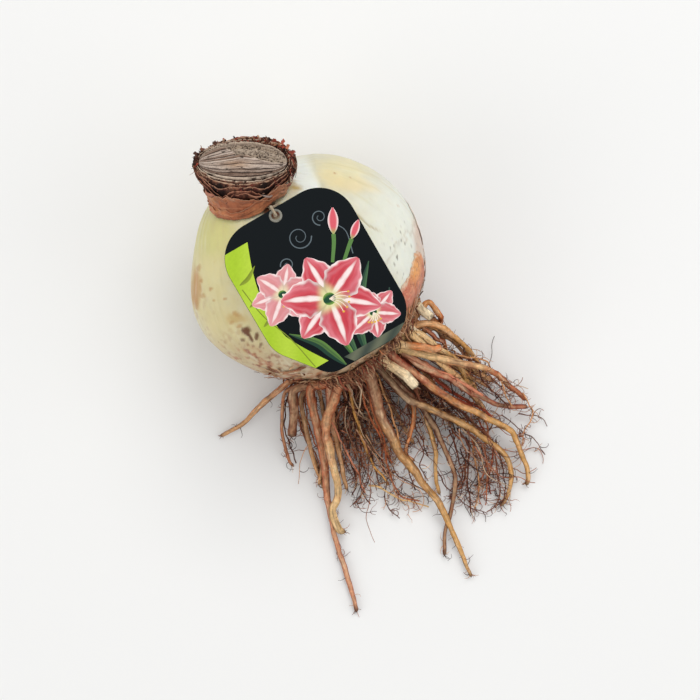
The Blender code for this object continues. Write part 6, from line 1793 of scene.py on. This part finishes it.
def build_print():
    """A made-up label picture: star blossoms, a bud, leaves and tendrils on dark and lime grounds."""
    page = Print()
    lime = tone(164, 196, 44)

    def lime_paint(x, y, u, v):
        soft = np.sin(x * 0.35 + y * 0.21) * 0.5 + 0.5
        return blend(np.zeros(x.shape + (3,)) + lime, tone(186, 212, 70), soft * 0.6)

    def lime_edge(y):
        return -14.0 - 9.0 * np.sin((y + 34.0) / 22.0) + 0.24 * np.clip(y - 12.0, 0.0, None)

    print_band(page, -30.0, 30.5, lambda y: -40.0 + 0.0 * y, lime_edge, lime_paint)

    def flat(colour):
        return lambda u, v: np.zeros(u.shape + (3,)) + colour

    def leaf(route, half, dark, light):
        def width(t):
            return half * np.sin(np.pi * np.clip(t, 0.02, 0.98)) ** 0.6 * (1.0 - 0.45 * t)

        def paint(u, v):
            colour = blend(np.zeros(u.shape + (3,)) + dark, light, ramp(v, -0.2, 0.9) * 0.7)
            return blend(colour, light, (1.0 - ramp(np.abs(v), 0.03, 0.12)) * 0.5)

        print_ribbon(page, route, width, paint, 46, 9)

    olive = tone(122, 138, 40)
    for k, (x, y) in enumerate(((-24.0, -17.0), (-25.0, -7.0), (-24.0, 3.0))):
        leaf([(x - 3.5, y + 1.0), (x + 1.0, y + 0.2 - k * 0.4), (x + 6.0, y - 3.0)], 1.1, olive, tone(146, 164, 48))
    print_ribbon(page, [(-27.5, -14.0), (-25.5, 0.0), (-20.5, 14.0), (-17.5, 30.0)], lambda t: 0.22 + 0.0 * t, flat(olive), 60, 3)
    grey = tone(92, 104, 110)
    for centre, reach, turns, start in (((4.0, -21.0), 5.2, 1.6, 0.4), ((15.5, -24.0), 3.4, 1.4, 2.0),
                                        ((-6.0, -13.5), 3.0, 1.3, 3.4)):
        t = np.linspace(0.0, 1.0, 26)
        angle = start + t * turns * 2.0 * math.pi
        radius = reach * (1.0 - 0.78 * t)
        route = [(centre[0] + r * math.cos(a), centre[1] + r * math.sin(a)) for r, a in zip(radius, angle)]
        print_ribbon(page, route, lambda t: 0.26 * (1.0 - 0.5 * t), flat(grey), 110, 3)
    print_ribbon(page, [(20.0, -4.0), (22.0, -14.0), (17.5, -20.5)], lambda t: 0.24 * (1.0 - 0.4 * t), flat(grey), 50, 3)
    dark_leaf = tone(30, 62, 48)
    light_leaf = tone(84, 122, 80)
    leaf([(4.0, 36.0), (7.0, 24.0), (15.0, 12.0), (24.0, 2.0)], 2.6, dark_leaf, light_leaf)
    leaf([(0.0, 36.0), (1.0, 24.0), (4.0, 14.0), (5.0, 4.0)], 2.2, dark_leaf, light_leaf)
    leaf([(8.0, 36.0), (14.0, 29.0), (21.0, 24.0), (26.0, 16.0)], 2.4, tone(26, 50, 44), tone(70, 100, 84))
    leaf([(-6.0, 36.0), (-9.0, 28.0), (-12.0, 21.0), (-20.0, 12.0)], 2.4, dark_leaf, tone(110, 150, 70))
    leaf([(-1.0, 36.2), (-2.0, 26.0), (-4.0, 20.0), (-5.0, 8.0)], 1.5, tone(58, 96, 50), tone(132, 170, 80))

    # A grey-green band across the card's lower end, a painted highlight.
    def band_paint(x, y, u, v):
        colour = np.zeros(x.shape + (3,)) + tone(104, 108, 88)
        return blend(colour, tone(60, 70, 62), 0.5 + 0.5 * np.sin(x * 0.5 + y * 0.7))

    print_band(page, 32.5, 36.5, lambda y: -2.0 - 3.0 * (36.5 - y) / 4.0 + 0.0 * y, lambda y: 40.0 + 0.0 * y, band_paint)

    bud = tone(214, 92, 104)
    for x, y, turn, size in ((17.0, -15.0, -62.0, 11.0), (22.5, -9.5, -40.0, 8.5)):
        way = (math.cos(math.radians(turn)), math.sin(math.radians(turn)))
        route = [(x, y), (x + way[0] * size * 0.5, y + way[1] * size * 0.5), (x + way[0] * size, y + way[1] * size)]
        print_ribbon(page, [(x - way[0] * 9.0 - 2.0, y - way[1] * 9.0 + 2.0), (x - way[0] * 4.0, y - way[1] * 4.0), (x, y)],
                     lambda t: 0.7 + 0.2 * t, flat(tone(88, 128, 66)), 20, 5)
        print_ribbon(page, route, lambda t, size=size: size * 0.2 * np.sin(np.pi * np.clip(t, 0.03, 0.97)) ** 0.7,
                     lambda u, v: blend(blend(np.zeros(u.shape + (3,)) + bud, tone(250, 232, 230), ramp(np.abs(v), 0.55, 0.95)),
                                        tone(150, 180, 100), (1.0 - ramp(u, 0.0, 0.3)) * 0.8), 30, 9)
    print_blossom(page, (-14.0, -4.0), 14.0, 12.0, 0.9, wash=0.35)
    print_blossom(page, (15.0, 22.0), 12.5, 40.0, 0.82, wash=0.12)
    print_blossom(page, (2.0, 7.5), 21.0, -26.0, 0.96)
    mat = surface("label_ink", 0.6, streaks=(6.0, 40.0, 0.06, 0.0), depth=0.00002, gloss=0.2)
    add_piece("label_print", np.vstack(page.points), page.faces, mat, np.vstack(page.tints), np.vstack(page.uvs),
              "label")


def build_eyelet():
    """The pale ring that lines the label's hole."""
    profile = [(1.75, 0.40), (1.85, 0.56), (2.2, 0.64), (2.55, 0.58), (2.8, 0.44), (2.82, 0.34), (1.92, 0.33),
               (1.92, -0.33), (2.6, -0.33), (2.6, -0.48), (2.0, -0.55), (1.78, -0.42)]
    sides = 72
    angle = np.linspace(0.0, 2.0 * math.pi, sides, endpoint=False)
    reach = np.array([x for x, _ in profile])[:, None] * MM
    rise = np.array([z for _, z in profile])[:, None] * MM + np.zeros((1, sides))
    middle = label_point(0.0, HOLE_DOWN, 0.0)
    out = unit(label_point(0.0, HOLE_DOWN, 1.0 * MM) - middle)
    right = unit(label_point(1.0 * MM, HOLE_DOWN, 0.0) - middle)
    down = np.cross(right, out)
    points = (middle + (np.cos(angle) * reach)[..., None] * right + (np.sin(angle) * reach)[..., None] * down
              + rise[..., None] * out)
    rows = len(profile)
    faces = grid_faces(rows, sides, True).tolist()
    for k in range(sides):
        n = (k + 1) % sides
        faces.append([(rows - 1) * sides + k, (rows - 1) * sides + n, n, k])
    noise = fractal(points, 1.2 * MM, 3.0)
    colour = blend(np.zeros(points.shape) + tone(134, 132, 122), tone(96, 92, 82), ramp(noise, -0.1, 0.6))
    mat = surface("eyelet_ring", 0.45, bumps=((0.0006, 0.4),), mottle=(0.08, 0.001), depth=0.0001)
    uvs = np.stack((np.zeros((rows, 1)) + angle, rise * 1000.0), axis=-1)
    add_piece("eyelet_ring", points, faces, mat, colour, uvs, "label_eyelet")


def string_route():
    """Route of the closed string: round the neck under the collar's lip, and through the eyelet."""
    reach = 0.35 * MM + STRING_RADIUS + 0.1 * MM
    lift = 0.35 * MM + STRING_RADIUS
    start = STRING_EXIT + STRING_PARTING
    angle = start + (2.0 * math.pi - 2.0 * STRING_PARTING) * np.arange(27) / 26.0
    route = list(neck_place(angle, reach, neck_depths(angle, reach, lift)))
    under_lip = 3.4 * MM
    low_exit = np.array(STRING_EXIT - 0.5 * STRING_PARTING)
    high_exit = np.array(STRING_EXIT + 0.5 * STRING_PARTING)
    low = neck_place(low_exit, under_lip, neck_depths(low_exit, under_lip, lift + 0.2 * MM))
    high = neck_place(high_exit, under_lip, neck_depths(high_exit, under_lip, lift + 0.2 * MM))
    passage = ((-3.8, -2.4), (-1.5, -2.0), (-0.4, -1.3), (0.0, -0.4),
               (0.0, 0.4), (-0.5, 1.4), (-1.8, 2.0), (-4.0, 2.2))
    route.append(low)
    for down, height in passage:
        aside = 0.25 * MM if height > 0.0 else -0.25 * MM
        route.append(label_point(aside, HOLE_DOWN + down * MM, height * MM))
    route.append(high)
    return route


def build_string():
    """The string: two strands twisted round each other along the closed loop."""
    route = string_route()
    wrapped = route[-3:] + route + route[:3]
    dense = spline(wrapped, 0.25 * MM)
    first = int(np.argmin(np.linalg.norm(dense[:len(dense) // 2] - route[0], axis=1)))
    half = len(dense) // 2
    last = half + int(np.argmin(np.linalg.norm(dense[half:] - route[0], axis=1)))
    line = lift_off(dense[first:last], 0.35 * MM + STRING_RADIUS)
    line = np.vstack((line, line[:1]))
    ways = unit(np.gradient(line, axis=0))
    side = unit(np.cross(ways, line - BULB_MIDDLE))
    other = np.cross(ways, side)
    length = np.concatenate(([0.0], np.cumsum(np.linalg.norm(np.diff(line, axis=0), axis=1))))
    turns = round(length[-1] / (2.1 * MM))
    lines = []
    for strand in (0.0, math.pi):
        angle = 2.0 * math.pi * turns * length / length[-1] + strand
        offset = np.cos(angle)[:, None] * side + np.sin(angle)[:, None] * other
        radii = np.full(len(line), 0.36 * MM)
        shade = 0.9 + 0.1 * grain(line, 1.0 * MM, strand)[:, None]
        lines.append((line + offset * 0.24 * MM, radii, tone(178, 160, 134)[None, :] * shade))
    mat = surface("string_cotton", 0.9, bumps=((0.0003, 0.6),), streaks=(8.0, 6.0, 0.15, 0.8),
                  mottle=(0.1, 0.0008), depth=0.00015, sheen=0.3)
    strands("string_plies", lines, 8, mat, "label_string")


def build_stage():
    """A plain pale floor, soft lights and the camera, which looks straight down."""
    bm = bmesh.new()
    bmesh.ops.create_grid(bm, x_segments=1, y_segments=1, size=4.0)
    mesh = bpy.data.meshes.new("floor")
    bm.to_mesh(mesh)
    bm.free()
    mesh.materials.append(plain("floor_paper", (0.86, 0.86, 0.85), 0.8))
    floor = bpy.data.objects.new("floor", mesh)
    floor.location = (0.0, 0.0, -0.0002)
    bpy.context.scene.collection.objects.link(floor)

    def light(name, place, size, power, aim=(0.02, 0.0, 0.03)):
        lamp = bpy.data.lights.new(name, "AREA")
        lamp.shape = "SQUARE"
        lamp.size = size
        lamp.energy = power
        item = bpy.data.objects.new(name, lamp)
        item.location = place
        item.rotation_euler = (Vector(aim) - Vector(place)).to_track_quat("-Z", "Y").to_euler()
        bpy.context.scene.collection.objects.link(item)

    light("key_light", (-0.55, 0.75, 1.35), 0.8, 9.0)
    light("fill_light", (-0.1, -1.3, 1.0), 1.2, 6.0)
    light("side_light", (0.82, 0.9, 0.9), 1.2, 4.0)
    light("top_light", (0.1, 0.0, 1.8), 1.6, 6.0)
    world = bpy.data.worlds.new("studio")
    world.use_nodes = True
    world.node_tree.nodes["Background"].inputs["Color"].default_value = (1.0, 1.0, 1.0, 1.0)
    world.node_tree.nodes["Background"].inputs["Strength"].default_value = 0.48
    bpy.context.scene.world = world

    camera = bpy.data.cameras.new("camera")
    camera.sensor_width = 36.0
    camera.lens = 36.0 * PIXELS * CAMERA_HEIGHT / 700.0
    camera.clip_start = 0.01
    item = bpy.data.objects.new("camera", camera)
    turn = Matrix((FRAME_RIGHT.tolist(), FRAME_UP.tolist(), (0.0, 0.0, 1.0))).transposed().to_4x4()
    turn.translation = Vector((*FRAME_MIDDLE[:2], FRAME_MIDDLE[2] + CAMERA_HEIGHT))
    item.matrix_world = turn
    bpy.context.scene.collection.objects.link(item)
    bpy.context.scene.camera = item
    bpy.context.scene.view_settings.view_transform = "Standard"


def crumbs(name, seats, sizes, tints, mat, replaces):
    """One piece of many small rough lumps at seats."""
    balls = []
    for subdivisions in (1, 2):
        bm = bmesh.new()
        bmesh.ops.create_icosphere(bm, subdivisions=subdivisions, radius=1.0)
        ball = np.array([vert.co[:] for vert in bm.verts])
        balls.append((ball, np.array([[vert.index for vert in face.verts] for face in bm.faces])))
        bm.free()
    points = []
    faces = []
    colours = []
    first = 0
    for index, (seat, size, paint) in enumerate(zip(seats, sizes, tints)):
        ball, ball_faces = balls[1 if max(size) > 0.5 * MM else 0]
        bump = 1.0 + 0.45 * grain(ball, 0.8, index * 1.7) + 0.3 * grain(ball, 0.35, index * 2.9)
        lump = ball * bump[:, None] * size
        points.append(seat + lump)
        faces.append(ball_faces + first)
        first += len(ball)
        # Painted shade where a lump dips in, lighter where it bulges.
        colours.append(paint[None, :] * (0.75 + 0.5 * bump[:, None] * 0.6))
    place = np.vstack(points)
    return add_piece(name, place, np.vstack(faces).tolist(), mat, np.vstack(colours), place[:, :2] * 300.0,
                     replaces)


def near_angle(angle, centre, width):
    """Share from 0 to 1 of being near an angle round the neck, in degrees."""
    turn = np.angle(np.exp(1j * (angle - math.radians(centre))))
    return np.exp(-(turn / math.radians(width)) ** 2)


def main():
    build_stage()
    build_bulb()
    build_cut_face()
    fibre_mat = build_sleeve()
    paper_mat = build_collar()
    neck_shreds(fibre_mat, paper_mat)
    build_flank()
    build_base_flakes()
    build_fine_roots(build_roots())
    build_label()
    build_print()
    build_eyelet()
    build_string()


main()
